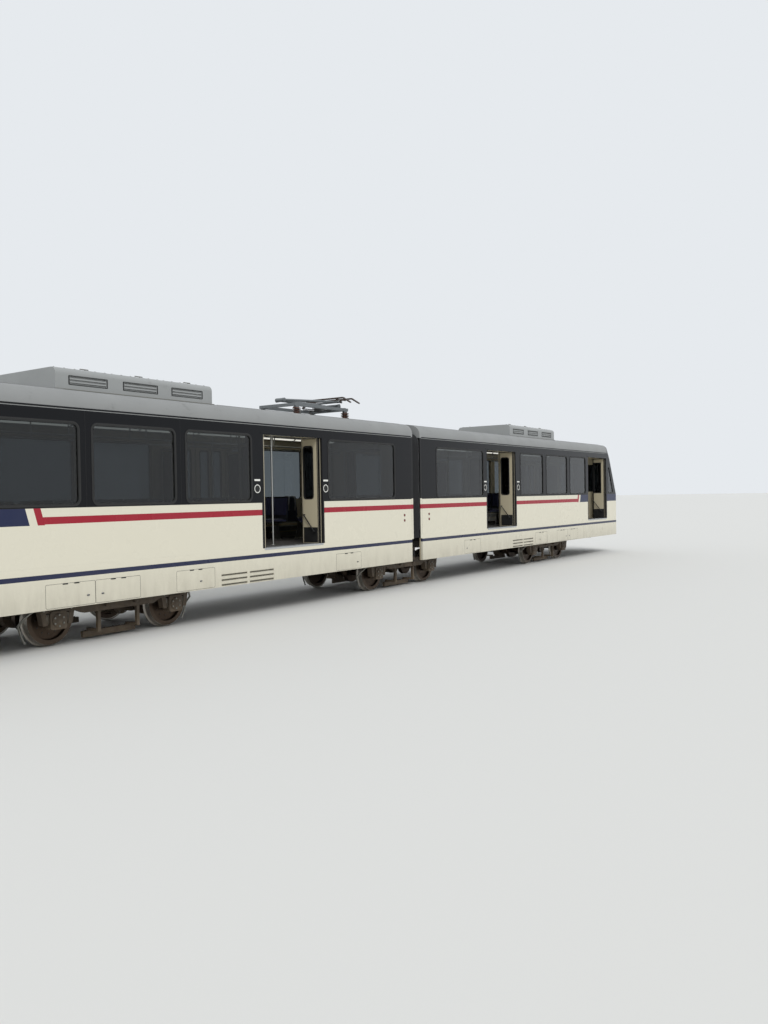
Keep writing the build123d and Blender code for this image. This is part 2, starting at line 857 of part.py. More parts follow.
for name, x in bogies:
    frame = bogie_frame.part
    if name == "c":
        frame = frame + joint_pin.part
    placed = Pos(x, 0, 0) * frame
    placed.label = f"bogie_frame_{name}"
    export_step(placed, f"parts/bogie_frame_{name}.step")

# Wheelsets: axle, brake disc and two flanged wheels turn as one
wheel_outer = wheel_back + wheel_width
axle_collar = 40
wheel_profile = (
    # y, radius
    (wheel_back - 5, axle_radius),
    (wheel_outer + 15, axle_radius),
    (wheel_outer + 15, 122),
    (768, 126),
    (768, 280),
    (wheel_outer, 292),
    (wheel_outer, wheel_radius - 4),
    (wheel_back + 44, wheel_radius + 1),
    (wheel_back + 33, wheel_radius + 10),
    (wheel_back + 24, wheel_radius + flange_depth),
    (wheel_back + 9, wheel_radius + flange_depth),
    (wheel_back, wheel_radius + 14),
    (wheel_back, 292),
    (738, 280),
    (738, 126),
    (wheel_back - 5, 122),
)
with BuildPart() as axle:
    with BuildSketch(Plane.YZ):
        with BuildLine():
            Polyline(
                (-journal_end, 0),
                (-journal_end, journal_radius),
                (-wheel_outer - axle_collar, journal_radius),
                (-wheel_outer - axle_collar, axle_radius),
                (disc_y - disc_thick / 2, axle_radius),
                (disc_y - disc_thick / 2, disc_radius),
                (disc_y + disc_thick / 2, disc_radius),
                (disc_y + disc_thick / 2, axle_radius),
                (wheel_outer + axle_collar, axle_radius),
                (wheel_outer + axle_collar, journal_radius),
                (journal_end, journal_radius),
                (journal_end, 0),
                close=True,
            )
        make_face()
    revolve(axis=Axis.Y)
with BuildPart() as wheel:
    with BuildSketch(Plane.YZ):
        with BuildLine():
            Polyline(*wheel_profile, close=True)
        make_face()
    revolve(axis=Axis.Y)
rolling = [*axle.part.solids(), *wheel.part.solids()]
rolling += mirror(wheel.part, about=Plane.XZ).solids()
for name, x in bogies:
    for index, sx in ((1, -1), (2, 1)):
        place = Pos(x + sx * half_wheelbase, 0, axle_z)
        whole = Compound(children=[place * solid for solid in rolling])
        whole.label = f"wheelset_{name}{index}"
        export_step(whole, f"parts/wheelset_{name}{index}.step")

# Couplers, each swinging on its pin under the floor
coupler_z = 560
shank_half = 55
head_x = (13080, 13380)
head_size = (300, 290)
funnel_y = 72
funnel_radius = 58
funnel_depth = 70
funnel_taper = 25
contact_height = 80
contact_inset = 30
head_round = 30
eye_radius = 95
for end, sx in ends:
    with BuildPart() as coupler:
        with BuildSketch(Plane.XY.offset(coupler_z - shank_half)):
            Circle(eye_radius)
            with Locations(((head_x[0] - draft_x) / 2, 0)):
                Rectangle(head_x[0] - draft_x, 2 * shank_half)
        extrude(amount=2 * shank_half)
        with BuildSketch(Plane.XY.offset(coupler_z + shank_half)):
            Circle(draft_pin)
        extrude(amount=draft_bottom + draft_depth - running_gap - coupler_z - shank_half)
        with BuildSketch(Plane.YZ.offset(head_x[0] - draft_x)):
            with Locations((0, coupler_z)):
                RectangleRounded(head_size[0], head_size[1], head_round)
        extrude(amount=head_x[1] - head_x[0])
        with BuildSketch(Plane.YZ.offset(head_x[1] - draft_x)):
            with Locations((-funnel_y, coupler_z)):
                Circle(funnel_radius)
        extrude(amount=-funnel_depth, taper=funnel_taper, mode=Mode.SUBTRACT)
        with BuildSketch(Plane.YZ.offset(head_x[0] + contact_inset - draft_x)):
            with Locations((0, coupler_z + (head_size[1] + contact_height) / 2)):
                Rectangle(head_size[0] - 2 * contact_inset, contact_height)
        extrude(amount=head_x[1] - head_x[0] - 2 * contact_inset)
    if sx > 0:
        placed = Pos(draft_x, 0, 0) * coupler.part
    else:
        placed = Pos(-draft_x, 0, 0) * mirror(coupler.part, about=Plane.YZ)
    placed.label = f"coupler_{end}"
    export_step(placed, f"parts/coupler_{end}.step")

# Folding doors of the near side, standing open: two panels at each post
door_y = -(half_width - door_inset)
leaf_bottom = floor_top + panel_clear
leaf_top = door_top - panel_clear
hinge_offset = (panel_thick + panel_gap) / 2
for end, sx in ends:
    for index, (first, last) in enumerate(doorways, start=1):
        edges = sorted((sx * first, sx * last))
        span = ((last - first) / 2 - post_clear - leaf_seam) / 2
        reach = span - leaf_seam / 2
        for jamb, edge_x, turn in (("left", edges[0], 1), ("right", edges[1], -1)):
            pivot_x = edge_x + turn * post_clear
            fold_x = pivot_x + turn * hinge_offset
            fold_y = door_y + span
            rows = (
                # panel, middle x, first y, last y
                ("post", pivot_x, door_y - panel_thick / 2, door_y + reach),
                ("edge", pivot_x + turn * (panel_thick + panel_gap), door_y + leaf_seam, door_y + reach),
            )
            for panel, middle_x, first_y, last_y in rows:
                own = 0 if panel == "post" else 1
                with BuildPart() as leaf:
                    with BuildSketch(Plane.YZ.offset(middle_x - panel_thick / 2)):
                        with Locations(((first_y + last_y) / 2, (leaf_bottom + leaf_top) / 2)):
                            Rectangle(last_y - first_y, leaf_top - leaf_bottom)
                        with Locations((door_y + span / 2 + window_shift, door_window_z)):
                            RectangleRounded(*door_window, mode=Mode.SUBTRACT)
                    extrude(amount=panel_thick)
                    for z in knuckle_stations:
                        with Locations((fold_x, fold_y, z + (1 - own) * (knuckle_length + knuckle_seam))):
                            Cylinder(
                                knuckle_radius + knuckle_clear,
                                knuckle_length,
                                align=(Align.CENTER, Align.CENTER, Align.MIN),
                                mode=Mode.SUBTRACT,
                            )
                        with Locations((fold_x, fold_y, z + own * (knuckle_length + knuckle_seam))):
                            Cylinder(
                                knuckle_radius,
                                knuckle_length,
                                align=(Align.CENTER, Align.CENTER, Align.MIN),
                            )
                    if panel == "edge":
                        face_x = middle_x + turn * panel_thick / 2
                        for y, z in leaf_rail:
                            with Locations((face_x + turn * rail_stand / 2, door_y + y, z)):
                                Box(rail_stand + seam_overlap, 2 * rail_radius, 2 * rail_radius)
                        rail_ends = [Vector(face_x + turn * rail_stand, door_y + y, z) for y, z in leaf_rail]
                        rail_run = rail_ends[1] - rail_ends[0]
                        with BuildSketch(Plane(origin=rail_ends[0], z_dir=rail_run)):
                            Circle(rail_radius)
                        extrude(amount=rail_run.length)
                    if panel == "post":
                        with Locations((pivot_x, door_y, floor_top + running_gap)):
                            Cylinder(
                                pin_radius,
                                door_top - floor_top - 2 * running_gap,
                                align=(Align.CENTER, Align.CENTER, Align.MIN),
                            )
                name = f"door_{end}{index}_{jamb}_{panel}"
                leaf.part.label = name
                export_step(leaf.part, f"parts/{name}.step")

# Pantograph on the roof of section a, folded down
panto_x = (-3060, -1340)
panto_y = 450
tube_half = 30
base_z = 3850
panto_pivot = (-1450, 3966)
panto_knee = (-2950, 4000)
panto_head = (-1500, 4050)
arm_radius = 34
rod_radius = 24
head_half = 780
head_tube = 430
head_plate = 24
lug_y = 300
lug_thick = 30
with BuildPart() as panto_base:
    with BuildSketch(Plane.XY.offset(base_z)):
        for sy in (-1, 1):
            with Locations(((panto_x[0] + panto_x[1]) / 2, sy * panto_y)):
                Rectangle(panto_x[1] - panto_x[0], 2 * tube_half)
        for x in (panto_x[0] + tube_half, panto_pivot[0]):
            with Locations((x, 0)):
                Rectangle(2 * tube_half, 2 * panto_y)
    extrude(amount=2 * tube_half)
    with BuildSketch(Plane.XY.offset(shoulder_z)):
        for x in (panto_x[0] + 80, panto_x[1] - 80):
            with Locations((x, panto_y), (x, -panto_y)):
                Circle(50)
    extrude(amount=base_z - shoulder_z)
    with BuildSketch(Plane.YZ.offset(panto_x[0] - 10)) as crown:
        with BuildLine():
            Polyline(
                (half_width, shoulder_z),
                (half_width, cant_z),
                (-half_width, cant_z),
                (-half_width, shoulder_z),
            )
            ThreePointArc((-half_width, shoulder_z), (0, roof_z), (half_width, shoulder_z))
        make_face()
    extrude(amount=panto_x[1] - panto_x[0] + 20, mode=Mode.SUBTRACT)
    for sy in (-1, 1):
        with BuildSketch(Plane.XZ.offset(-sy * lug_y)):
            with Locations((panto_pivot[0], base_z + 60)):
                Rectangle(90, 100)
            with Locations(panto_pivot):
                Circle(45)
                Circle(22 + running_gap, mode=Mode.SUBTRACT)
        extrude(amount=-sy * lug_thick)
panto_base.part.label = "panto_base"
export_step(panto_base.part, "parts/panto_base.step")

with BuildPart() as panto_lower:
    run = Vector(panto_knee[0] - panto_pivot[0], 0, panto_knee[1] - panto_pivot[1])
    start = Vector(panto_pivot[0], 0, panto_pivot[1])
    with BuildSketch(Plane(origin=start, z_dir=run)):
        Circle(arm_radius)
    extrude(amount=run.length)
    with BuildSketch(Plane.XZ.offset(1 - lug_y)):
        with Locations(panto_pivot):
            Circle(arm_radius + 6)
    extrude(amount=2 * lug_y - 2)
    with BuildSketch(Plane.XZ.offset(1 - lug_y - lug_thick)):
        with Locations(panto_pivot):
            Circle(22)
    extrude(amount=2 * (lug_y + lug_thick) - 2)
    with BuildSketch(Plane.XZ.offset(-120)):
        with Locations(panto_knee):
            Circle(22)
    extrude(amount=240)
    with BuildSketch(Plane.XZ.offset(-60)):
        with Locations(panto_knee):
            Circle(arm_radius + 6)
    extrude(amount=120)
panto_lower.part.label = "panto_lower"
export_step(panto_lower.part, "parts/panto_lower.step")

with BuildPart() as panto_upper:
    for sy in (-1, 1):
        run = Vector(panto_head[0] - panto_knee[0], sy * 245, panto_head[1] - panto_knee[1])
        start = Vector(panto_knee[0], sy * 95, panto_knee[1])
        with BuildSketch(Plane(origin=start, z_dir=run)):
            Circle(rod_radius)
        extrude(amount=run.length)
        with BuildSketch(Plane.XZ.offset(-sy * 61)):
            with Locations(panto_knee):
                Circle(42)
                Circle(22 + running_gap, mode=Mode.SUBTRACT)
        extrude(amount=-sy * 50)
    with BuildSketch(Plane.XZ.offset(-head_tube)):
        with Locations(panto_head):
            Circle(20)
    extrude(amount=2 * head_tube)
    for sy in (-1, 1):
        with BuildSketch(Plane.XZ.offset(-sy * 61)):
            with Locations(panto_knee):
                Circle(22 + running_gap)
        extrude(amount=-sy * 60, mode=Mode.SUBTRACT)
panto_upper.part.label = "panto_upper"
export_step(panto_upper.part, "parts/panto_upper.step")

with BuildPart() as panto_pan:
    for dx in (-150, 150):
        with BuildSketch(Plane.YZ.offset(panto_head[0] + dx - 28)):
            with BuildLine():
                Polyline(
                    (-head_half, panto_head[1] - 60),
                    (-head_half + 190, panto_head[1] + 50),
                    (head_half - 190, panto_head[1] + 50),
                    (head_half, panto_head[1] - 60),
                    (head_half, panto_head[1] - 35),
                    (head_half - 190, panto_head[1] + 78),
                    (-head_half + 190, panto_head[1] + 78),
                    (-head_half, panto_head[1] - 35),
                    close=True,
                )
            make_face()
        extrude(amount=56)
    for sy in (-1, 1):
        with BuildSketch(Plane.XZ.offset(-sy * (head_tube - head_plate - 5))):
            with Locations((panto_head[0], panto_head[1] + 40)):
                Rectangle(320, 24)
            with Locations((panto_head[0], panto_head[1] + 10)):
                Rectangle(60, 80)
            with Locations(panto_head):
                Circle(20 + running_gap, mode=Mode.SUBTRACT)
        extrude(amount=-sy * head_plate)
panto_pan.part.label = "panto_pan"
export_step(panto_pan.part, "parts/panto_pan.step")
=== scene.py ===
import math

import bmesh
import bpy
from mathutils import Matrix, Vector


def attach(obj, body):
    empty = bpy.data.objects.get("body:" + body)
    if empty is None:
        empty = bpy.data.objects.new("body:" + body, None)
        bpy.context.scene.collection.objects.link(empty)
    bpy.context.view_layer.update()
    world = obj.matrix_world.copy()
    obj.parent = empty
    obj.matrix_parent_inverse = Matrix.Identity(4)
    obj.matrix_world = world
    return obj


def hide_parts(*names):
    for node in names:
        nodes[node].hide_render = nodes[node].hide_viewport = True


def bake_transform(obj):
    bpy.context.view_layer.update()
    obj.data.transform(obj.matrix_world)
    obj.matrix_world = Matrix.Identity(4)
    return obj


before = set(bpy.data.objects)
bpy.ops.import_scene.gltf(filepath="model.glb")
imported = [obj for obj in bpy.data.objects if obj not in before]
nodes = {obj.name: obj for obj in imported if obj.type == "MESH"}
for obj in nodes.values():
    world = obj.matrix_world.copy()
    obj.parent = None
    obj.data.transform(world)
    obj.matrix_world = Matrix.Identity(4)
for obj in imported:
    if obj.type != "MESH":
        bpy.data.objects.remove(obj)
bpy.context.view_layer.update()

ends = (("a", -1), ("b", 1))

# Sizes that the dressing shares with the solids, in metres
car = {
    "halfWidth": 1.325,
    "wall": 0.080,
    "floorTop": 1.162,
    "sill": 1.958,
    "windowBottom": 1.992,
    "windowTop": 3.122,
    "doorTop": 3.148,
    "cant": 3.300,
    "roofTop": 3.690,
    "cabStart": 11.740,
    "windowCorner": 0.090,
    "windows": ((0.850, 3.100), (5.200, 6.660), (6.880, 8.380), (8.600, 9.850)),
    "doorways": ((3.290, 4.910), (10.060, 11.660)),
    "bogies": (("a", -7.72), ("c", 0.0), ("b", 7.72)),
    "halfWheelbase": 1.05,
    "axleHeight": 0.388,
    "noseCentre": 9.874,
    "noseRadius": 3.076,
    "rake": (0.6, 0.4),  # the nose leans back by this below and above the doors' top
    "wheelRings": ((0.0, "6F6A63"), (0.066, "3A322B"), (0.289, "4A423A"), (0.352, "B4B0A8")),
}

# Camera where the photograph was taken from
view = {
    "place": (-15.82, -11.525, 2.06),
    "heading": (0.8187, 0.5741),
    "pitchDegrees": -1.16,
    "rollDegrees": 0.96,
    "focalPixels": 850,
    "framePixels": (768, 1024),
}


def placeCamera(v):
    data = bpy.data.cameras.new("camera")
    data.lens = v["focalPixels"] / max(v["framePixels"]) * data.sensor_width
    data.clip_start, data.clip_end = 0.1, 400
    cam = bpy.data.objects.new("camera", data)
    bpy.context.scene.collection.objects.link(cam)
    pitch = math.radians(v["pitchDegrees"])
    ahead = Vector((*v["heading"], 0)).normalized() * math.cos(pitch)
    ahead.z = math.sin(pitch)
    turn = ahead.to_track_quat("-Z", "Y").to_matrix()
    roll = Matrix.Rotation(math.radians(-v["rollDegrees"]), 3, "Z")
    cam.matrix_world = Matrix.Translation(v["place"]) @ (turn @ roll).to_4x4()
    bpy.context.scene.camera = cam


placeCamera(view)
print("camera placed")


# Materials


def linear(code):
    # sRGB hex code to linear colour
    channels = [int(code[i:i + 2], 16) / 255 for i in (0, 2, 4)]
    return [c / 12.92 if c <= 0.04045 else ((c + 0.055) / 1.055) ** 2.4 for c in channels] + [1.0]


def addNode(tree, kind, settings):
    # settings name a property or an input; a node or a socket as value is linked
    node = tree.nodes.new(kind)
    for key, value in settings.items():
        if isinstance(value, bpy.types.Node):
            value = value.outputs[0]
        if key == "stops":
            ramp = node.color_ramp
            ramp.interpolation = "CONSTANT"
            while len(ramp.elements) < len(value):
                ramp.elements.new(1.0)
            for element, (at, colour) in zip(ramp.elements, value):
                element.position = at
                element.color = colour
        elif isinstance(value, bpy.types.NodeSocket):
            tree.links.new(value, node.inputs[key])
        elif isinstance(key, str) and key in node.bl_rna.properties:
            setattr(node, key, value)
        else:
            node.inputs[key].default_value = value
    return node


sums, mix, spread = "ShaderNodeMath", "ShaderNodeMix", "ShaderNodeMapRange"
noise, ramp, wave = "ShaderNodeTexNoise", "ShaderNodeValToRGB", "ShaderNodeTexWave"
sockets = {
    "metal": "Metallic", "coat": "Coat Weight", "sheen": "Sheen Weight", "clear": "Transmission Weight",
    "ior": "IOR", "shine": "Specular IOR Level", "glow": "Emission Strength",
}


def makeMaterial(name, colour, tone, patch, rough, grain, bump, **more):
    # colour: a hex code or a paint function; patch and grain: sizes of the patterns in metres
    material = bpy.data.materials.new(name)
    material.use_nodes = True
    tree = material.node_tree
    shader = tree.nodes["Principled BSDF"]
    place = addNode(tree, "ShaderNodeTexCoord", {}).outputs["Object"]
    axes = addNode(tree, "ShaderNodeSeparateXYZ", {0: place}).outputs
    patches = addNode(tree, noise, {"Vector": place, "Scale": 1 / patch, "Detail": 5.0, "Roughness": 0.6})
    base = linear(colour) if isinstance(colour, str) else colour(tree, axes)
    share = addNode(tree, sums, {"operation": "MULTIPLY", 0: patches, 1: more.get("toneMix", 0.35)})
    base = addNode(tree, mix, {"data_type": "RGBA", 0: share, 6: base, 7: linear(tone)}).outputs[2]
    if "dirt" in more:
        # road film: thickest at the foot, in upright streaks
        film, high, low, most, size = more["dirt"]
        fall = addNode(tree, spread, {0: axes[2], 1: high, 2: low, 3: 0.0, 4: most})
        upright = addNode(tree, "ShaderNodeMapping", {0: place, 3: (1.0, 1.0, 0.25)})
        cells = {"Vector": upright, "Scale": 1 / size, "Detail": 6.0, "Roughness": 0.65}
        streaks = addNode(tree, noise, cells)
        dirty = addNode(tree, sums, {"operation": "MULTIPLY", "use_clamp": True, 0: fall, 1: streaks})
        base = addNode(tree, mix, {"data_type": "RGBA", 0: dirty, 6: base, 7: linear(film)}).outputs[2]
    if "wear" in more:
        # rubbed spots where hands, feet or weather reach the surface
        bare, size, most = more["wear"]
        scuffs = addNode(tree, noise, {"Vector": place, "Scale": 1 / size, "Detail": 8.0, "Roughness": 0.75})
        rubbed = addNode(tree, spread, {0: scuffs, 1: 0.60, 2: 0.68, 3: 0.0, 4: most})
        base = addNode(tree, mix, {"data_type": "RGBA", 0: rubbed, 6: base, 7: linear(bare)}).outputs[2]
    tree.links.new(base, shader.inputs["Base Color"])
    dull = addNode(tree, spread, {0: patches, 1: 0.3, 2: 0.7, 3: rough[0], 4: rough[1]}).outputs[0]
    tree.links.new(dull, shader.inputs["Roughness"])
    stretch = addNode(tree, "ShaderNodeMapping", {0: place, 3: more.get("brush", (1.0, 1.0, 1.0))})
    height = addNode(tree, noise, {"Vector": stretch, "Scale": 1 / grain, "Detail": 3.0})
    if "weave" in more:
        threads = {"Vector": place, "Scale": 0.32 / more["weave"], "Distortion": 1.0}
        warp = addNode(tree, wave, {"bands_direction": "DIAGONAL", **threads})
        weft = addNode(tree, wave, {"bands_direction": "Y", **threads})
        height = addNode(tree, sums, {"operation": "MAXIMUM", 0: warp.outputs[1], 1: weft.outputs[1]})
    relief = addNode(tree, "ShaderNodeBump", {"Strength": bump, "Distance": grain * 0.4, "Height": height})
    tree.links.new(relief.outputs[0], shader.inputs["Normal"])
    for key in sockets.keys() & more.keys():
        shader.inputs[sockets[key]].default_value = more[key]
    if "coat" in more:
        shader.inputs["Coat Roughness"].default_value = 0.05
    if "glow" in more:
        shader.inputs["Emission Color"].default_value = linear(colour)
    return material


livery = {
    "cream": "D9D4C2", "red": "98102A", "navy": "0B1A42", "band": "06070A", "roof": "8E8F8E", "gap": "17181A",
    "lining": "BFB59B", "leafLining": "A79E88", "roofLining": "D2CDBE",
    "vinyl": "3D3B39", "vinylChips": "6A655D", "floorFoot": "1B1B1C",
    "lineLow": 1.000, "lineHigh": 1.060, "redLow": 1.7294, "redHigh": 1.823,
    "limbSlope": 0.27, "limbInner": 9.144, "limbOuter": 9.249, "patchInner": 9.367,
    "limbSpan": (9.0, 9.5),  # ramp over distances along the car
    "height": 4.2,  # ramps over heights end here
    "leafInner": 0.7215,  # distances of the leaves' planes from the middle of the doorway
    "edgePlane": 0.741, "postPlane": 0.780,
    "edgeDepth": 0.012, "gapReach": 0.152,
}
paints = {key: linear(code) for key, code in livery.items() if isinstance(code, str)}
stripes = [
    (0.0, paints["cream"]), (livery["lineLow"] / livery["height"], paints["navy"]),
    (livery["lineHigh"] / livery["height"], paints["cream"]),
    (livery["redLow"] / livery["height"], paints["red"]),
    (livery["redHigh"] / livery["height"], paints["cream"]),
]


def outerSkin(tree, axes):
    # 1 on the outer faces of the walls and of the raked nose
    along = addNode(tree, sums, {"operation": "ABSOLUTE", 0: axes[0]})
    across = addNode(tree, sums, {"operation": "ABSOLUTE", 0: axes[1]})
    low, high = car["rake"]
    lowRake = addNode(tree, spread, {0: axes[2], 1: car["sill"], 2: car["doorTop"], 3: 0.0, 4: low})
    highRake = addNode(tree, spread, {0: axes[2], 1: car["doorTop"], 2: car["roofTop"], 3: 0.0, 4: high})
    raked = addNode(tree, sums, {"operation": "ADD", 0: lowRake, 1: highRake})
    upright = addNode(tree, sums, {"operation": "ADD", 0: along, 1: raked})
    flat = addNode(tree, "ShaderNodeCombineXYZ", {0: upright, 1: across})
    centre = (car["noseCentre"], 0.0, 0.0)
    between = {"operation": "DISTANCE", 0: flat, 1: centre}
    reach = addNode(tree, "ShaderNodeVectorMath", between).outputs["Value"]
    front = addNode(tree, sums, {"operation": "GREATER_THAN", 0: reach, 1: car["noseRadius"] - 0.05})
    inCab = addNode(tree, sums, {"operation": "GREATER_THAN", 0: along, 1: car["cabStart"]})
    nose = addNode(tree, sums, {"operation": "MULTIPLY", 0: front, 1: inCab})
    side = addNode(tree, sums, {"operation": "GREATER_THAN", 0: across, 1: car["halfWidth"] - 0.045})
    return addNode(tree, sums, {"operation": "MAXIMUM", 0: nose, 1: side}).outputs[0]


def lowerLivery(tree, axes):
    # lines by height; the red one turns up into a limb, with a navy patch behind it
    first, last = livery["limbSpan"]
    along = addNode(tree, sums, {"operation": "ABSOLUTE", 0: axes[0]})
    lift = addNode(tree, sums, {"operation": "SUBTRACT", 0: axes[2], 1: livery["redLow"]})
    slanted = addNode(tree, sums, {"operation": "MULTIPLY_ADD", 0: lift, 1: -livery["limbSlope"], 2: along})
    starts = [(livery[key] - first) / (last - first) for key in ("limbInner", "limbOuter", "patchInner")]
    limbs = [(0.0, (0.0, 0.0, 0.0, 0.0)), *zip(starts, (paints["red"], paints["cream"], paints["navy"]))]
    height = addNode(tree, sums, {"operation": "DIVIDE", 0: axes[2], 1: livery["height"]})
    distance = addNode(tree, spread, {0: slanted, 1: first, 2: last, 3: 0.0, 4: 1.0})
    rows = addNode(tree, ramp, {"stops": stripes, 0: height})
    limb = addNode(tree, ramp, {"stops": limbs, 0: distance})
    raised = addNode(tree, sums, {"operation": "GREATER_THAN", 0: axes[2], 1: livery["redLow"]})
    shown = addNode(tree, sums, {"operation": "MULTIPLY", 0: limb.outputs["Alpha"], 1: raised})
    base = addNode(tree, mix, {"data_type": "RGBA", 0: shown, 6: rows, 7: limb}).outputs[2]
    skin = outerSkin(tree, axes)
    return addNode(tree, mix, {"data_type": "RGBA", 0: skin, 6: paints["lining"], 7: base}).outputs[2]


def bandPaint(tree, axes):
    level = car["cant"] + livery["edgeDepth"]
    above = addNode(tree, sums, {"operation": "GREATER_THAN", 0: axes[2], 1: level})
    shown = addNode(tree, sums, {"operation": "MAXIMUM", 0: outerSkin(tree, axes), 1: above})
    colours = {"data_type": "RGBA", 0: shown, 6: paints["lining"], 7: paints["band"]}
    return addNode(tree, mix, colours).outputs[2]


def leafPaint(tree, axes):
    # the outer faces of a folded pair lie together; its inner faces carry the lining, its handrail is black
    along = addNode(tree, sums, {"operation": "ABSOLUTE", 0: axes[0]})
    offsets = []
    for first, last in car["doorways"]:
        away = addNode(tree, sums, {"operation": "SUBTRACT", 0: along, 1: (first + last) / 2})
        offsets.append(addNode(tree, sums, {"operation": "ABSOLUTE", 0: away}))
    nearest = addNode(tree, sums, {"operation": "MINIMUM", 0: offsets[0], 1: offsets[1]})
    planes = [
        (0.0, paints["band"]), (livery["leafInner"], paints["leafLining"]),
        (livery["edgePlane"], paints["band"]), (livery["postPlane"], paints["leafLining"]),
    ]
    return addNode(tree, ramp, {"stops": planes, 0: nearest}).outputs[0]


def endPaint(tree, axes):
    # lining inside, black in the gap of the joint, and the body's colours on the outer edge
    tall = livery["height"]
    levels = [*stripes, (car["sill"] / tall, paints["band"]), (car["cant"] / tall, paints["roof"])]
    height = addNode(tree, sums, {"operation": "DIVIDE", 0: axes[2], 1: tall})
    rows = addNode(tree, ramp, {"stops": levels, 0: height})
    along = addNode(tree, sums, {"operation": "ABSOLUTE", 0: axes[0]})
    gap = addNode(tree, sums, {"operation": "LESS_THAN", 0: along, 1: livery["gapReach"]})
    base = addNode(tree, mix, {"data_type": "RGBA", 0: gap, 6: paints["lining"], 7: paints["gap"]}).outputs[2]
    across = addNode(tree, sums, {"operation": "ABSOLUTE", 0: axes[1]})
    side = car["halfWidth"] - livery["edgeDepth"]
    edge = addNode(tree, sums, {"operation": "GREATER_THAN", 0: across, 1: side})
    above = addNode(tree, sums, {"operation": "GREATER_THAN", 0: axes[2], 1: car["cant"]})
    shown = addNode(tree, sums, {"operation": "MAXIMUM", 0: edge, 1: above})
    return addNode(tree, mix, {"data_type": "RGBA", 0: shown, 6: base, 7: rows}).outputs[2]


def floorPaint(tree, axes):
    # speckled vinyl on top, black underframe paint below
    top = addNode(tree, sums, {"operation": "GREATER_THAN", 0: axes[2], 1: car["floorTop"] - 0.003})
    place = addNode(tree, "ShaderNodeTexCoord", {}).outputs["Object"]
    chips = addNode(tree, "ShaderNodeTexVoronoi", {"Vector": place, "Scale": 90.0})
    speck = addNode(tree, sums, {"operation": "LESS_THAN", 0: chips, 1: 0.28})
    colours = {6: paints["vinyl"], 7: paints["vinylChips"]}
    vinyl = addNode(tree, mix, {"data_type": "RGBA", 0: speck, **colours}).outputs[2]
    return addNode(tree, mix, {"data_type": "RGBA", 0: top, 6: paints["floorFoot"], 7: vinyl}).outputs[2]


def roofPaint(tree, axes):
    # enamel outside, lining below the ceiling
    level = car["cant"] + livery["edgeDepth"]
    above = addNode(tree, sums, {"operation": "GREATER_THAN", 0: axes[2], 1: level})
    across = addNode(tree, sums, {"operation": "ABSOLUTE", 0: axes[1]})
    side = car["halfWidth"] - livery["edgeDepth"]
    edge = addNode(tree, sums, {"operation": "GREATER_THAN", 0: across, 1: side})
    shown = addNode(tree, sums, {"operation": "MAXIMUM", 0: edge, 1: above})
    colours = {6: paints["roofLining"], 7: paints["roof"]}
    return addNode(tree, mix, {"data_type": "RGBA", 0: shown, **colours}).outputs[2]


def wheelPaint(tree, axes):
    # bare bright tread and journal, rust-brown web and axle
    along = addNode(tree, sums, {"operation": "ABSOLUTE", 0: axes[0]}).outputs[0]
    half = car["halfWheelbase"]
    axles = sorted({round(abs(x + offset), 3) for _, x in car["bogies"] for offset in (-half, half)})
    nearest = 9.0
    for axle in axles:
        off = addNode(tree, sums, {"operation": "SUBTRACT", 0: along, 1: axle})
        off = addNode(tree, sums, {"operation": "ABSOLUTE", 0: off})
        nearest = addNode(tree, sums, {"operation": "MINIMUM", 0: nearest, 1: off}).outputs[0]
    lift = addNode(tree, sums, {"operation": "SUBTRACT", 0: axes[2], 1: car["axleHeight"]})
    flat = addNode(tree, "ShaderNodeCombineXYZ", {0: nearest, 1: lift})
    radius = addNode(tree, "ShaderNodeVectorMath", {"operation": "LENGTH", 0: flat}).outputs["Value"]
    rings = [(radius, linear(code)) for radius, code in car["wheelRings"]]
    return addNode(tree, ramp, {"stops": rings, 0: radius}).outputs[0]


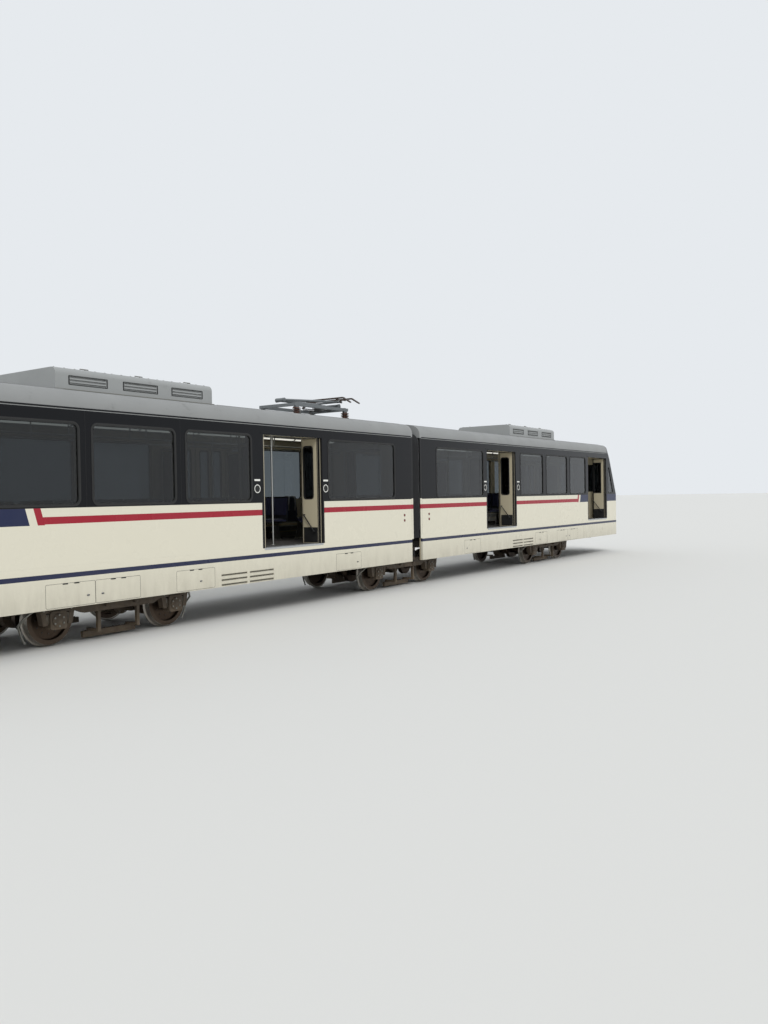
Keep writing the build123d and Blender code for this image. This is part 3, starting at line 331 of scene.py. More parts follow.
materials = {
    # two-pack enamel on steel sheet: even gloss, faint orange peel, road film towards the skirt
    "bodyEnamel": makeMaterial("bodyEnamel", lowerLivery, "CFC9B8", 0.9, (0.22, 0.34), 0.006, 0.05,
                               toneMix=0.05, coat=0.06, shine=0.2, dirt=("6E6557", 1.15, 0.5, 0.595, 0.14)),
    # near-black gloss enamel: mirror-like, dust shows as slightly duller patches
    "bandEnamel": makeMaterial("bandEnamel", bandPaint, "101116", 0.7, (0.12, 0.24), 0.006, 0.03,
                               toneMix=0.4, shine=0.22),
    "leafEnamel": makeMaterial("leafEnamel", leafPaint, "4A4640", 0.4, (0.25, 0.4), 0.005, 0.04,
                               toneMix=0.06, shine=0.35),
    "endEnamel": makeMaterial("endWallEnamel", endPaint, "4A4742", 0.5, (0.3, 0.45), 0.005, 0.04,
                              toneMix=0.06, shine=0.3),
    # grey roof enamel with soot from the collector
    "roofEnamel": makeMaterial("roofEnamel", roofPaint, "6F706F", 0.6, (0.45, 0.65), 0.008, 0.12,
                               wear=("5E5E5C", 0.3, 0.35)),
    "roofCover": makeMaterial("roofCoverEnamel", "9A9C9B", "7A7B79", 0.5, (0.38, 0.55), 0.006, 0.08,
                              wear=("6A6966", 0.22, 0.3)),
    # toughened glass with a neutral body tint: dark from outside, sharp reflections
    "tintedGlass": makeMaterial("tintedGlass", "5F6568", "5A6063", 2.0, (0.0, 0.02), 0.4, 0.01,
                                toneMix=0.2, clear=1.0, ior=1.45),
    # melamine laminate on panels: fine pebble, dull sheen
    "laminate": makeMaterial("pressedLaminate", "BFB59B", "A99F86", 0.35, (0.32, 0.46), 0.004, 0.08,
                             wear=("9B927C", 0.12, 0.25)),
    # stoved enamel on the frame and its boxes, dulled by spray
    "underframe": makeMaterial("underframeEnamel", floorPaint, "37322B", 0.25, (0.55, 0.8), 0.010, 0.3),
    "boxPaint": makeMaterial("equipmentBoxEnamel", "232425", "3B362E", 0.3, (0.5, 0.75), 0.008, 0.2,
                             dirt=("5A5042", 1.0, 0.6, 0.85, 0.09)),
    # cast and welded steel under grease, brake dust and road dirt
    "bogieSteel": makeMaterial("bogieCastSteel", "2C2926", "4B3B2D", 0.10, (0.55, 0.85), 0.007, 0.45,
                               toneMix=0.6, dirt=("6B5C48", 0.9, 0.2, 1.02, 0.07),
                               wear=("6F675B", 0.05, 0.5)),
    "wheelSteel": makeMaterial("forgedWheelSteel", wheelPaint, "5A4636", 0.07, (0.28, 0.55), 0.004, 0.08,
                               toneMix=0.5, metal=0.85),
    "couplerSteel": makeMaterial("greasedCastSteel", "33302D", "55493B", 0.06, (0.35, 0.7), 0.006, 0.35,
                                 toneMix=0.6, metal=0.4, wear=("85807A", 0.04, 0.6)),
    # zinc-plated steel: pale, slightly mottled
    "zincSteel": makeMaterial("zincPlatedSteel", "8E8D87", "6E6A60", 0.02, (0.35, 0.55), 0.003, 0.04,
                              toneMix=0.6, metal=0.85),
    "springSteel": makeMaterial("paintedSpringSteel", "26282B", "4A4034", 0.04, (0.4, 0.6), 0.004, 0.2,
                                toneMix=0.5),
    # moulded black rubber: soft highlights, slight bloom
    "rubber": makeMaterial("gasketRubber", "131313", "222221", 0.05, (0.5, 0.7), 0.002, 0.15),
    # fabric coated with rubber, its threads drawn at 6 mm so that they show
    "bellowsRubber": makeMaterial("coatedBellowsFabric", "1C1D1F", "2D2D2D", 0.08, (0.6, 0.8), 0.003, 0.3,
                                  weave=0.006, wear=("3C3B38", 0.09, 0.4)),
    # brushed and anodised metal: the fine grain runs along the bar or the profile
    "stainless": makeMaterial("brushedStainlessSteel", "B9B9B5", "9B9B97", 0.05, (0.30, 0.40), 0.002, 0.005,
                              metal=1.0, brush=(1.0, 1.0, 0.05)),
    "aluminium": makeMaterial("anodisedAluminium", "C2C4C4", "A4A6A6", 0.08, (0.28, 0.42), 0.002, 0.01,
                              metal=0.9, brush=(0.05, 1.0, 1.0)),
    # polyester and ABS mouldings with a fine texture
    "shellPlastic": makeMaterial("mouldedSeatShell", "2A2E36", "3A3F48", 0.12, (0.35, 0.5), 0.003, 0.15,
                                 wear=("4A4F58", 0.06, 0.4)),
    "deskPlastic": makeMaterial("mouldedDeskTop", "3A3C3E", "2C2E30", 0.10, (0.45, 0.6), 0.0015, 0.2),
    # short-pile moquette, drawn with threads of 5 mm so that they show
    "seatFabric": makeMaterial("wovenSeatMoquette", "26345E", "3A2030", 0.03, (0.8, 0.95), 0.005, 0.6,
                               toneMix=0.5, sheen=0.3, weave=0.005, wear=("4A5680", 0.05, 0.4)),
    # carbon strips in copper carriers, and the enamelled tubes that lift them
    "copper": makeMaterial("carbonAndCopperStrip", "3A3735", "6E4C38", 0.05, (0.35, 0.6), 0.003, 0.2,
                           metal=0.5),
    "pantoPaint": makeMaterial("collectorFrameEnamel", "6C7072", "54585A", 0.08, (0.35, 0.6), 0.004, 0.08,
                               wear=("4A4038", 0.05, 0.5)),
    # glazed brown porcelain
    "porcelain": makeMaterial("glazedPorcelain", "4A2A1C", "5E3826", 0.04, (0.08, 0.18), 0.01, 0.04,
                              coat=0.6),
    # pressed lenses and the bright bowls behind them
    "redLens": makeMaterial("mouldedRedLens", "8E1418", "6A0E12", 0.03, (0.08, 0.16), 0.006, 0.25, coat=0.5),
    "clearLens": makeMaterial("pressedLampGlass", "E6E8E4", "D8DBD8", 0.05, (0.02, 0.06), 0.012, 0.3,
                              clear=0.9, ior=1.5),
    "reflector": makeMaterial("aluminisedReflector", "E4E4E0", "CFCFCA", 0.05, (0.05, 0.12), 0.01, 0.05,
                              metal=1.0),
    # opal acrylic over the ceiling lamps: an even soft glow
    "diffuser": makeMaterial("opalAcrylic", "E9E7DD", "DAD8CE", 0.2, (0.4, 0.5), 0.003, 0.05, glow=0.9),
    "whitePlate": makeMaterial("enamelledSignPlate", "E4E3DC", "CFCDC4", 0.05, (0.25, 0.4), 0.002, 0.05),
}
print("materials made")

nodeMaterials = {
    "side_lower": "bodyEnamel", "cab_lower": "bodyEnamel", "window_band": "bandEnamel",
    "cab_upper": "bandEnamel", "roof": "roofEnamel", "bulkheads": "endEnamel",
    "glazing": "tintedGlass", "seats": "seatFabric", "screens": "laminate",
    "underfloor": "boxPaint", "roof_unit": "roofCover", "lamps": "clearLens",
    "far_doors": "bandEnamel", "floor": "underframe", "bogie_frame": "bogieSteel",
    "wheelset": "wheelSteel", "coupler": "couplerSteel", "door": "leafEnamel",
    "gangway_frame": "bellowsRubber", "panto_pan": "copper", "panto": "pantoPaint",
}
for name, node in nodes.items():
    kind = max((key for key in nodeMaterials if name.startswith(key)), key=len)
    node.data.materials.clear()
    node.data.materials.append(materials[nodeMaterials[kind]])


# Shapes: each is gathered in one mesh, then finished as a piece on its body


def addBox(shape, low, high):
    size = Vector(high) - Vector(low)
    matrix = Matrix.Translation((Vector(low) + Vector(high)) / 2) @ Matrix.Diagonal((*map(abs, size), 1))
    bmesh.ops.create_cube(shape, size=1, matrix=matrix)


def spot(axis, u, v, w):
    # u and v lie in the plane across the axis, w along it
    return {"X": (w, u, v), "Y": (u, w, v), "Z": (u, v, w)}[axis]


def addSlab(shape, outline, axis, low, high, hole=None):
    # a prism, or a frame where hole has as many points as outline
    count = len(outline)
    loops = [outline] if hole is None else [outline, hole]
    rows = [[shape.verts.new(spot(axis, *p, w)) for p in loop] for w in (low, high) for loop in loops]
    if hole is None:
        shape.faces.new(rows[0])
        shape.faces.new(rows[1])
        pairs = ((rows[0], rows[1]),)
    else:
        pairs = ((rows[0], rows[1]), (rows[2], rows[3]), (rows[0], rows[2]), (rows[1], rows[3]))
    for first, second in pairs:
        for i in range(count):
            j = (i + 1) % count
            shape.faces.new((first[i], first[j], second[j], second[i]))


def roundedOutline(u, v, width, height, radius, steps=6):
    points = []
    for index, (su, sv) in enumerate(((1, 1), (-1, 1), (-1, -1), (1, -1))):
        centre = Vector((u + su * (width / 2 - radius), v + sv * (height / 2 - radius)))
        for step in range(steps + 1):
            angle = math.radians(90 * (index + step / steps))
            points.append(tuple(centre + radius * Vector((math.cos(angle), math.sin(angle)))))
    return points


def circle(radius, count, shift=0.0):
    # shift turns the points by that share of their pitch
    turns = [2 * math.pi * (k + shift) / count for k in range(count)]
    return [(radius * math.cos(t), radius * math.sin(t)) for t in turns]


def panel(a, b, c, d):
    # outline of a plain rectangle between two places each way
    return [(a, c), (b, c), (b, d), (a, d)]


def addTube(shape, points, radius, sides=8, closed=False):
    points = [Vector(p) for p in points]
    count = len(points)
    rings = []
    side = None
    for i, p in enumerate(points):
        before = points[i - 1] if i or closed else p
        after = points[(i + 1) % count] if i < count - 1 or closed else p
        ahead = (after - before).normalized()
        if side is None:
            side = ahead.orthogonal().normalized()
        side = (side - ahead * side.dot(ahead)).normalized()
        up = ahead.cross(side)
        bend = 1.0
        if p is not before and p is not after:
            bend = 1 / max(0.5, math.cos((p - before).angle(after - p, 0) / 2))
        turns = [2 * math.pi * k / sides for k in range(sides)]
        ring = [p + (side * math.cos(a) + up * math.sin(a)) * radius * bend for a in turns]
        rings.append([shape.verts.new(place) for place in ring])
    links = list(zip(rings, rings[1:])) + ([(rings[-1], rings[0])] if closed else [])
    for first, second in links:
        for i in range(sides):
            j = (i + 1) % sides
            shape.faces.new((first[i], first[j], second[j], second[i]))
    if not closed:
        shape.faces.new(rings[0])
        shape.faces.new(rings[-1])


def addTurned(shape, profile, centre, axis, steps=32):
    # profile of (radius, along), closed, turned about the axis through centre
    centre = Vector(centre)
    rings = []
    for step in range(steps):
        angle = 2 * math.pi * step / steps
        ring = [centre + Vector(spot(axis, r * math.cos(angle), r * math.sin(angle), w)) for r, w in profile]
        rings.append([shape.verts.new(place) for place in ring])
    for i in range(steps):
        first, second = rings[i], rings[(i + 1) % steps]
        for k in range(len(profile)):
            m = (k + 1) % len(profile)
            shape.faces.new((first[k], first[m], second[m], second[k]))


def fromFace(profile, foot, way=1):
    # a turned profile of (radius, height), its heights counted from a face
    return [(r, foot + way * w) for r, w in profile]


def washer(inner, outer, low, high):
    # profile of a plain ring or sleeve
    return [(inner, low), (outer, low), (outer, high), (inner, high)]


def ribbon(points, thick):
    # closed outline of a strip of that thickness along a flat open path
    path = [Vector(p) for p in points]
    offsets = []
    for i, p in enumerate(path):
        before, after = path[max(i - 1, 0)], path[min(i + 1, len(path) - 1)]
        run = (after - before).normalized()
        offsets.append(p + Vector((-run.y, run.x)) * thick)
    return [tuple(p) for p in path] + [tuple(p) for p in reversed(offsets)]


def roundedPath(corners, radius, steps=5):
    # a closed flat polygon with its corners rounded
    points = []
    count = len(corners)
    for i in range(count):
        before, corner, after = (Vector(corners[(i + k) % count]) for k in (-1, 0, 1))
        toBefore, toAfter = (before - corner).normalized(), (after - corner).normalized()
        half = toBefore.angle(toAfter) / 2
        reach = radius / math.tan(half)
        centre = corner + (toBefore + toAfter).normalized() * radius / math.sin(half)
        first, last = corner + toBefore * reach - centre, corner + toAfter * reach - centre
        for step in range(steps + 1):
            points.append(tuple(centre + first.lerp(last, step / steps).normalized() * radius))
    return points


def addCushion(shape, place, size, crown, pull=0.03, cells=10):
    # crowned pad: place turns and moves it, size is (length, width, rim thickness)
    length, width, rim = size
    grids = []
    for side in (1, -1):
        grid = []
        for i in range(cells + 1):
            for j in range(cells + 1):
                u, v = (math.sin(math.pi * (k / cells - 0.5)) for k in (i, j))
                rise = ((1 - u ** 4) * (1 - v ** 4)) ** 0.5
                dimple = 1 + 0.12 * math.cos(2 * math.pi * u) * math.cos(math.pi * v)
                swell = rise * (crown * dimple if side > 0 else 0.003)
                x = u * length / 2 * (1 - pull * (1 - v * v))
                y = v * width / 2 * (1 - pull * (1 - u * u))
                grid.append(shape.verts.new(place @ Vector((x, y, side * (rim / 2 + swell)))))
        grids.append(grid)
    wide = cells + 1
    for grid in grids:
        for i in range(cells):
            for j in range(cells):
                a = i * wide + j
                shape.faces.new((grid[a], grid[a + 1], grid[a + wide + 1], grid[a + wide]))
    border = [*range(cells), *(i * wide + cells for i in range(cells))]
    border += [*(cells * wide + cells - j for j in range(cells)), *((cells - i) * wide for i in range(cells))]
    for a, b in zip(border, border[1:] + border[:1]):
        shape.faces.new((grids[0][a], grids[0][b], grids[1][b], grids[1][a]))
    return [grids[0][a].co.copy() for a in border]


def noseAt(y, z, out=0.0):
    # a point on the raked nose, that far outside its skin
    low = car["rake"][0] * min(max((z - car["sill"]) / (car["doorTop"] - car["sill"]), 0), 1)
    high = car["rake"][1] * max((z - car["doorTop"]) / (car["roofTop"] - car["doorTop"]), 0)
    return car["noseCentre"] - low - high + math.sqrt((car["noseRadius"] + out) ** 2 - y * y)


def onNose(points, out):
    # flat points of (y, z) laid on the nose
    return [(noseAt(y, z, out), y, z) for y, z in points]


def addNosePanel(shape, yRange, zRange, inner, outer, steps=16):
    # a curved panel on the nose between two distances from its skin
    first, last = yRange
    columns = [first + (last - first) * k / steps for k in range(steps + 1)]
    grids = []
    for out in (inner, outer):
        grids.append([[shape.verts.new(p) for p in onNose([(y, z) for z in zRange], out)] for y in columns])
    for grid in grids:
        for a, b in zip(grid, grid[1:]):
            shape.faces.new((a[0], b[0], b[1], a[1]))
    near, far = grids
    for a in (0, 1):
        for k in range(steps):
            shape.faces.new((near[k][a], near[k + 1][a], far[k + 1][a], far[k][a]))
    for k in (0, steps):
        shape.faces.new((near[k][0], near[k][1], far[k][1], far[k][0]))


def finishPiece(shape, name, body, material, slot, bevel=0.0, smooth=False):
    bmesh.ops.remove_doubles(shape, verts=shape.verts, dist=0.00002)
    bmesh.ops.recalc_face_normals(shape, faces=shape.faces)
    mesh = bpy.data.meshes.new(name)
    shape.to_mesh(mesh)
    shape.free()
    piece = bpy.data.objects.new(name, mesh)
    bpy.context.scene.collection.objects.link(piece)
    mesh.materials.append(materials[material])
    if smooth:
        mesh.shade_smooth()
        mesh.set_sharp_from_angle(angle=math.radians(38))
    if bevel:
        edges = piece.modifiers.new("edges", "BEVEL")
        edges.width = bevel
        edges.segments = 2
        edges.limit_method = "ANGLE"
        edges.angle_limit = math.radians(40)
    if body:
        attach(piece, body)
    return piece


# Repeated fittings: a geometry tree sets one fitting on each point of a mesh


def repeaterTree(name, sizes, material, fittingOf):
    tree = bpy.data.node_groups.new(name, "GeometryNodeTree")
    tree.interface.new_socket("Points", in_out="INPUT", socket_type="NodeSocketGeometry")
    for size in sizes:
        tree.interface.new_socket(size, in_out="INPUT", socket_type="NodeSocketFloat")
    tree.interface.new_socket("Fittings", in_out="OUTPUT", socket_type="NodeSocketGeometry")
    given = addNode(tree, "NodeGroupInput", {}).outputs
    named = {"data_type": "FLOAT_VECTOR", "Name": "facing"}
    facing = addNode(tree, "GeometryNodeInputNamedAttribute", named)
    turn = addNode(tree, "FunctionNodeAlignRotationToVector", {"axis": "Z", "Vector": facing})
    made = {"Points": given["Points"], "Instance": fittingOf(tree, given), "Rotation": turn}
    placed = addNode(tree, "GeometryNodeInstanceOnPoints", made)
    real = addNode(tree, "GeometryNodeRealizeInstances", {"Geometry": placed})
    painted = addNode(tree, "GeometryNodeSetMaterial", {"Geometry": real, "Material": materials[material]})
    addNode(tree, "NodeGroupOutput", {"Fittings": painted})
    return tree


def hexBolt(tree, given):
    rods = []
    for part, corners in (("Washer", 14), ("Head", 6)):
        sizes = {"Vertices": corners, "Radius": given[part + " Radius"], "Depth": given[part + " Height"]}
        rods.append(addNode(tree, "GeometryNodeMeshCylinder", sizes))
    joined = addNode(tree, "GeometryNodeJoinGeometry", {0: rods[0]})
    tree.links.new(rods[1].outputs[0], joined.inputs[0])
    return joined


def flatSlat(tree, given):
    size = addNode(tree, "ShaderNodeCombineXYZ", dict(enumerate(given[key] for key in slatSizes)))
    return addNode(tree, "GeometryNodeMeshCube", {"Size": size})


def coilSpring(tree, given):
    turns = {"Resolution": 18, "Rotations": given["Turns"], "Height": given["Coil Height"]}
    radii = {key: given["Coil Radius"] for key in ("Start Radius", "End Radius")}
    helix = addNode(tree, "GeometryNodeCurveSpiral", {**turns, **radii})
    ring = {"Resolution": 8, "Radius": given["Wire Radius"]}
    wire = addNode(tree, "GeometryNodeCurvePrimitiveCircle", ring)
    path = {"Curve": helix, "Profile Curve": wire, "Fill Caps": True}
    coil = addNode(tree, "GeometryNodeCurveToMesh", path)
    return addNode(tree, "GeometryNodeSetShadeSmooth", {"Geometry": coil})


boltSizes = ("Head Radius", "Head Height", "Washer Radius", "Washer Height")
slatSizes = ("Length", "Width", "Height")
springSizes = ("Turns", "Coil Radius", "Coil Height", "Wire Radius")
fittings = {
    name: (sizes, repeaterTree(name, sizes, material, maker))
    for name, sizes, material, maker in (
        ("zincBolt", boltSizes, "zincSteel", hexBolt),
        ("darkBolt", boltSizes, "couplerSteel", hexBolt),
        ("brightBolt", boltSizes, "stainless", hexBolt),
        ("aluminiumRib", slatSizes, "aluminium", flatSlat),
        ("roofRib", slatSizes, "roofEnamel", flatSlat),
        ("coverSlat", slatSizes, "roofCover", flatSlat),
        ("grilleSlat", slatSizes, "boxPaint", flatSlat),
        ("coilSpring", springSizes, "springSteel", coilSpring),
    )
}
# head radius and height, washer radius and height of the bolts and screws
boltM12, boltM6 = (0.011, 0.016, 0.014, 0.005), (0.006, 0.008, 0.0085, 0.003)


def setFittings(name, kind, spots, sizes, body):
    # spots: place and outward direction of each fitting; sizes: the tree's own inputs in their order
    mesh = bpy.data.meshes.new(name + "Points")
    mesh.from_pydata([p for p, _ in spots], [], [])
    facing = mesh.attributes.new("facing", "FLOAT_VECTOR", "POINT")
    for i, (_, out) in enumerate(spots):
        facing.data[i].vector = out
    carrier = bpy.data.objects.new(name + "Points", mesh)
    bpy.context.scene.collection.objects.link(carrier)
    names, tree = fittings[kind]
    repeat = carrier.modifiers.new("repeat", "NODES")
    repeat.node_group = tree
    chosen = dict(zip(names, sizes))
    for socket in tree.interface.items_tree:
        if socket.in_out == "INPUT" and socket.name in chosen:
            repeat[socket.identifier] = chosen[socket.name]
    evaluated = carrier.evaluated_get(bpy.context.evaluated_depsgraph_get())
    plain = bpy.data.meshes.new_from_object(evaluated)
    bpy.data.objects.remove(carrier)
    plain.name = name
    piece = bpy.data.objects.new(name, plain)
    bpy.context.scene.collection.objects.link(piece)
    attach(piece, body)
    return piece


def ringSpots(axis, centre, radius, along, way, count, shift=0.5):
    # bolts on a circle that faces along the axis, way 1 or -1
    out = spot(axis, 0, 0, way)
    middle = Vector(centre)
    return [(middle + Vector(spot(axis, u, v, along)), out) for u, v in circle(radius, count, shift)]


def addMirror(axis, *made):
    # adds to each shape or list of spots its mirror image about the middle
    flip = Matrix.Diagonal([-1 if letter == axis else 1 for letter in "XYZ"])
    for each in made:
        if isinstance(each, list):
            each += [(flip @ Vector(p), flip @ Vector(out)) for p, out in each]
        else:
            whole = each.verts[:] + each.edges[:] + each.faces[:]
            for part in bmesh.ops.duplicate(each, geom=whole)["geom"]:
                if isinstance(part, bmesh.types.BMVert):
                    part.co = flip @ part.co


def finishCopies(places, rows):
    # places: suffix, body and matrix of each copy; rows: name, shape or spots, finish, slot, option
    pieces = {}
    for suffix, body, matrix in places:
        turn = matrix.to_3x3()
        for name, made, finish, slot, *option in rows:
            full = f"{name}_{suffix}"
            if isinstance(made, list):
                spots = [(matrix @ Vector(p), turn @ Vector(out)) for p, out in made]
                pieces[full] = setFittings(full, finish, spots, option[0], body)
            else:
                shape = made.copy()
                shape.transform(matrix)
                pieces[full] = finishPiece(shape, full, body, finish, slot, **(option[0] if option else {}))
    return pieces


def shapesFor(count):
    return (bmesh.new() for _ in range(count))


smooth, eased = {"smooth": True}, {"bevel": 0.002}
# what is made at end b is mirrored to end a
sections = [(end, f"section_{end}", Matrix.Diagonal((way, 1, 1, 1))) for end, way in ends]
couplers = [(end, f"coupler_{end}", matrix) for end, _, matrix in sections]
print("repeaters made")

# Bellows of the gangway: folds between two clamping frames
bellows = {
    "halfWidth": 1.250, "foot": 1.090, "top": 3.400, "corner": 0.220, "folds": 7, "depth": 0.032,
    "cloth": 0.004, "reach": 0.146, "clampLift": 0.006, "clampOut": (0.045, 0.0375, 0.040),
    "clampIn": (-0.030, -0.0375, -0.030), "clampX": (0.1462, 0.1500),
    "passage": (0.5, 1.163, 3.1), "trimWidth": 0.040, "trimX": (0.2101, 0.2150),
}


def archPath(half, foot, top, corner, steps=8):
    # across and height of an upside-down U, with the outward direction of each point
    rise = (top - corner - foot) / steps
    points = [(-half, foot + rise * k, -1.0, 0.0) for k in range(steps)]
    for centre, start in ((-half + corner, 180), (half - corner, 90)):
        for step in range(steps + 1):
            a = math.radians(start - 90 * step / steps)
            out = (math.cos(a), math.sin(a))
            points.append((centre + corner * out[0], top - corner + corner * out[1], *out))
    return points + [(half, top - corner - rise * (k + 1), 1.0, 0.0) for k in range(steps)]


def makeBellows(b):
    path = archPath(b["halfWidth"], b["foot"], b["top"], b["corner"])
    shape = bmesh.new()
    steps = b["folds"] * 6
    skins = []
    for lift in (0.0, b["cloth"]):
        rows = []
        for i in range(steps + 1):
            share = i / steps
            fold = math.cos(2 * math.pi * b["folds"] * share)
            out = b["depth"] * math.copysign(abs(fold) ** 0.7, fold) + lift
            x = b["reach"] * (2 * share - 1)
            rows.append([shape.verts.new((x, y + ny * out, z + nz * out)) for y, z, ny, nz in path])
        skins.append(rows)
    last = len(path) - 1
    for rows in skins:
        for a, c in zip(rows, rows[1:]):
            for k in range(last):
                shape.faces.new((a[k], a[k + 1], c[k + 1], c[k]))
    inner, outer = skins
    for i in (0, steps):
        for k in range(last):
            shape.faces.new((inner[i][k], inner[i][k + 1], outer[i][k + 1], outer[i][k]))
    for k in (0, last):
        for i in range(steps):
            shape.faces.new((inner[i][k], inner[i + 1][k], outer[i + 1][k], outer[i][k]))
    piece = finishPiece(shape, "gangwayBellows", None, "bellowsRubber", "bellows_rubber", smooth=True)
    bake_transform(piece)


def clampLoop(b, grow):
    side, rise, bend = grow
    middle = (b["foot"] + b["top"]) / 2 + b["clampLift"]
    wide, tall = 2 * (b["halfWidth"] + side), b["top"] - b["foot"] + 2 * rise
    return roundedOutline(0, middle, wide, tall, b["corner"] + bend)


makeBellows(bellows)
clamp, trim = shapesFor(2)
outer, inner = (clampLoop(bellows, bellows[key]) for key in ("clampOut", "clampIn"))
addSlab(clamp, outer, "X", *bellows["clampX"], inner)
half, foot, head = bellows["passage"]
doorway = [(-half, foot), (-half, head), (half, head), (half, foot)]
addSlab(trim, ribbon(doorway, bellows["trimWidth"]), "X", *bellows["trimX"])
finishCopies(sections, [
    ("bellowsClamp", clamp, "aluminium", "bellows_rubber"),
    ("passageTrim", trim, "aluminium", "wall_lining", eased),
])
print("bellows made")

# Window seals, dark fillers and the lining round each window
seal = {
    "outer": 0.022, "inner": -0.018, "slack": -0.0006, "face": 0.0048, "lap": 0.0002, "filler": 0.0062,
    "fillerEdges": (0.010, 0.004), "depth": 0.0135, "liningEdges": (0.035, -0.004),
    "liningFaces": (0.008, 0.0005), "reveal": (-0.001, -0.010), "revealDepth": 0.026,
}


def windowLoop(u, middle, wide, tall, corner, grow):
    return roundedOutline(u, middle, wide + 2 * grow, tall + 2 * grow, corner + grow)


rubber, filler, lining = shapesFor(3)
skin, inside = car["halfWidth"], car["halfWidth"] - car["wall"]
for first, last in car["windows"]:
    size = (
        (first + last) / 2, (car["windowBottom"] + car["windowTop"]) / 2,
        last - first, car["windowTop"] - car["windowBottom"], car["windowCorner"],
    )
    for shape, outer, inner, low, high in (
        (rubber, seal["outer"], seal["inner"], skin + seal["lap"], skin + seal["face"]),
        (rubber, seal["slack"], seal["inner"], skin - seal["depth"], skin + seal["lap"]),
        (filler, *seal["fillerEdges"], skin + seal["face"], skin + seal["filler"]),
        (lining, *seal["liningEdges"], inside - seal["liningFaces"][0], inside - seal["liningFaces"][1]),
        (lining, *seal["reveal"], inside, skin - seal["revealDepth"]),
    ):
        addSlab(shape, windowLoop(*size, outer), "Y", low, high, windowLoop(*size, inner))
addMirror("Y", rubber, filler, lining)
finishCopies(sections, [
    ("windowSeals", rubber, "rubber", "dark_paint"),
    ("sealFillers", filler, "boxPaint", "dark_paint"),
    ("windowLinings", lining, "laminate", "wall_lining"),
])
print("window seals made")

# Folding leaves: glass, seals, lining, kick plate and rubber edges of each panel
leaf = {
    "thick": 0.034, "gap": 0.005, "pivotInset": 0.030, "line": -1.275, "bottom": 1.168, "top": 3.142,
    "window": (0.230, 1.250, 0.060), "windowHeight": 2.375, "windowShift": 0.030, "glassFoot": 2.010,
    "seam": 0.004, "kickTop": 1.470, "sheet": 0.0012, "rim": 0.016, "outerRim": 0.010, "margin": 0.012,
    "foldMargin": 0.030, "headGap": 0.020, "bead": 0.0018, "lip": 0.012, "glassHalf": 0.003,
    "screw": (0.005, 0.003, 0.007, 0.0012),
}


def leafWindow(shapes, axis, u, plane, rims, s):
    # pane, rubber on both faces, and a panel in the foot of the opening
    pane, rubber, infill = shapes
    w, h, r = s["window"]
    half, glass = s["thick"] / 2, s["glassHalf"]
    opening = roundedOutline(u, s["windowHeight"], w - 0.001, h - 0.001, r)
    crown = s["windowHeight"] + h / 2
    h, middle = crown - s["glassFoot"], (crown + s["glassFoot"]) / 2

    def loop(grow):
        return roundedOutline(u, middle, w + 2 * grow, h + 2 * grow, r + grow)

    addSlab(infill, opening, axis, plane - half, plane + half, loop(-s["glassHalf"]))
    addSlab(pane, roundedOutline(u, middle, w - 0.002, h - 0.002, r), axis, plane - glass, plane + glass)
    hole, edge = loop(-s["lip"]), roundedOutline(u, middle, w - 0.001, h - 0.001, r)
    for side, rim in zip((-1, 1), rims):
        face = plane + side * half
        addSlab(rubber, loop(rim), axis, face, face + side * s["bead"], hole)
        addSlab(rubber, edge, axis, plane + side * glass, face, hole)
    return middle - h / 2, middle + h / 2


def addLining(shape, axis, faces, near, far, low, high, window, rim):
    # four sheets round the window
    left, right, foot, head = window[0] - rim, window[1] + rim, window[2] - rim, window[3] + rim
    uprights = ((near, left, foot, head), (right, far, foot, head))
    for sheet in ((near, far, low, foot), (near, far, head, high), *uprights):
        if sheet[1] - sheet[0] > 0.004:
            addSlab(shape, panel(*sheet), axis, *faces)


def dressLeaf(name, body, x, inside, nearY, farY, windowY, s):
    # x: middle plane; inside: the way that the car's inside lies; near and far: its edges along y
    pane, rubber, lining, kick, infill = shapesFor(5)
    half, low, high = s["thick"] / 2, s["bottom"], s["top"]
    rims = [s["rim"] if side == inside else s["outerRim"] for side in (-1, 1)]
    foot, head = leafWindow((pane, rubber, infill), "X", windowY, x, rims, s)
    face, skin = x + inside * half, x + inside * (half + s["sheet"])
    near, far = nearY + s["margin"], farY - s["foldMargin"]
    window = (windowY - s["window"][0] / 2, windowY + s["window"][0] / 2, foot, head)
    addLining(lining, "X", (face, skin), near, far, s["kickTop"], high - s["headGap"], window, s["rim"])
    addSlab(kick, panel(near, far, low + 0.010, s["kickTop"] - 0.006), "X", face, skin)
    # soft rubber along the upright edges and a brush under the leaf
    for edge, way in ((nearY, 1), (farY, -1)):
        strip = panel(edge - way * 0.0015, edge + way * 0.006, low + 0.004, high - 0.004)
        addSlab(kick, strip, "X", x - half - 0.0008, x - half + 0.010)
    addSlab(kick, panel(near, far, low - 0.0030, low + 0.006), "X", x - 0.006, x + 0.006)
    heights = (s["kickTop"] + 0.03, foot - s["rim"] - 0.03, high - 0.045)
    screws = [((skin, y, z), (inside, 0, 0)) for y in (near + 0.015, far - 0.015) for z in heights]
    finishCopies([(name, body, Matrix())], [
        ("leafInfill", infill, "leafEnamel", "door_paint"),
        ("leafGlass", pane, "tintedGlass", "window_glass"),
        ("leafSeal", rubber, "rubber", "door_paint"),
        ("leafLining", lining, "laminate", "wall_lining"),
        ("leafKick", kick, "rubber", "door_paint"),
        ("leafScrews", screws, "brightBolt", "door_paint", s["screw"]),
    ])


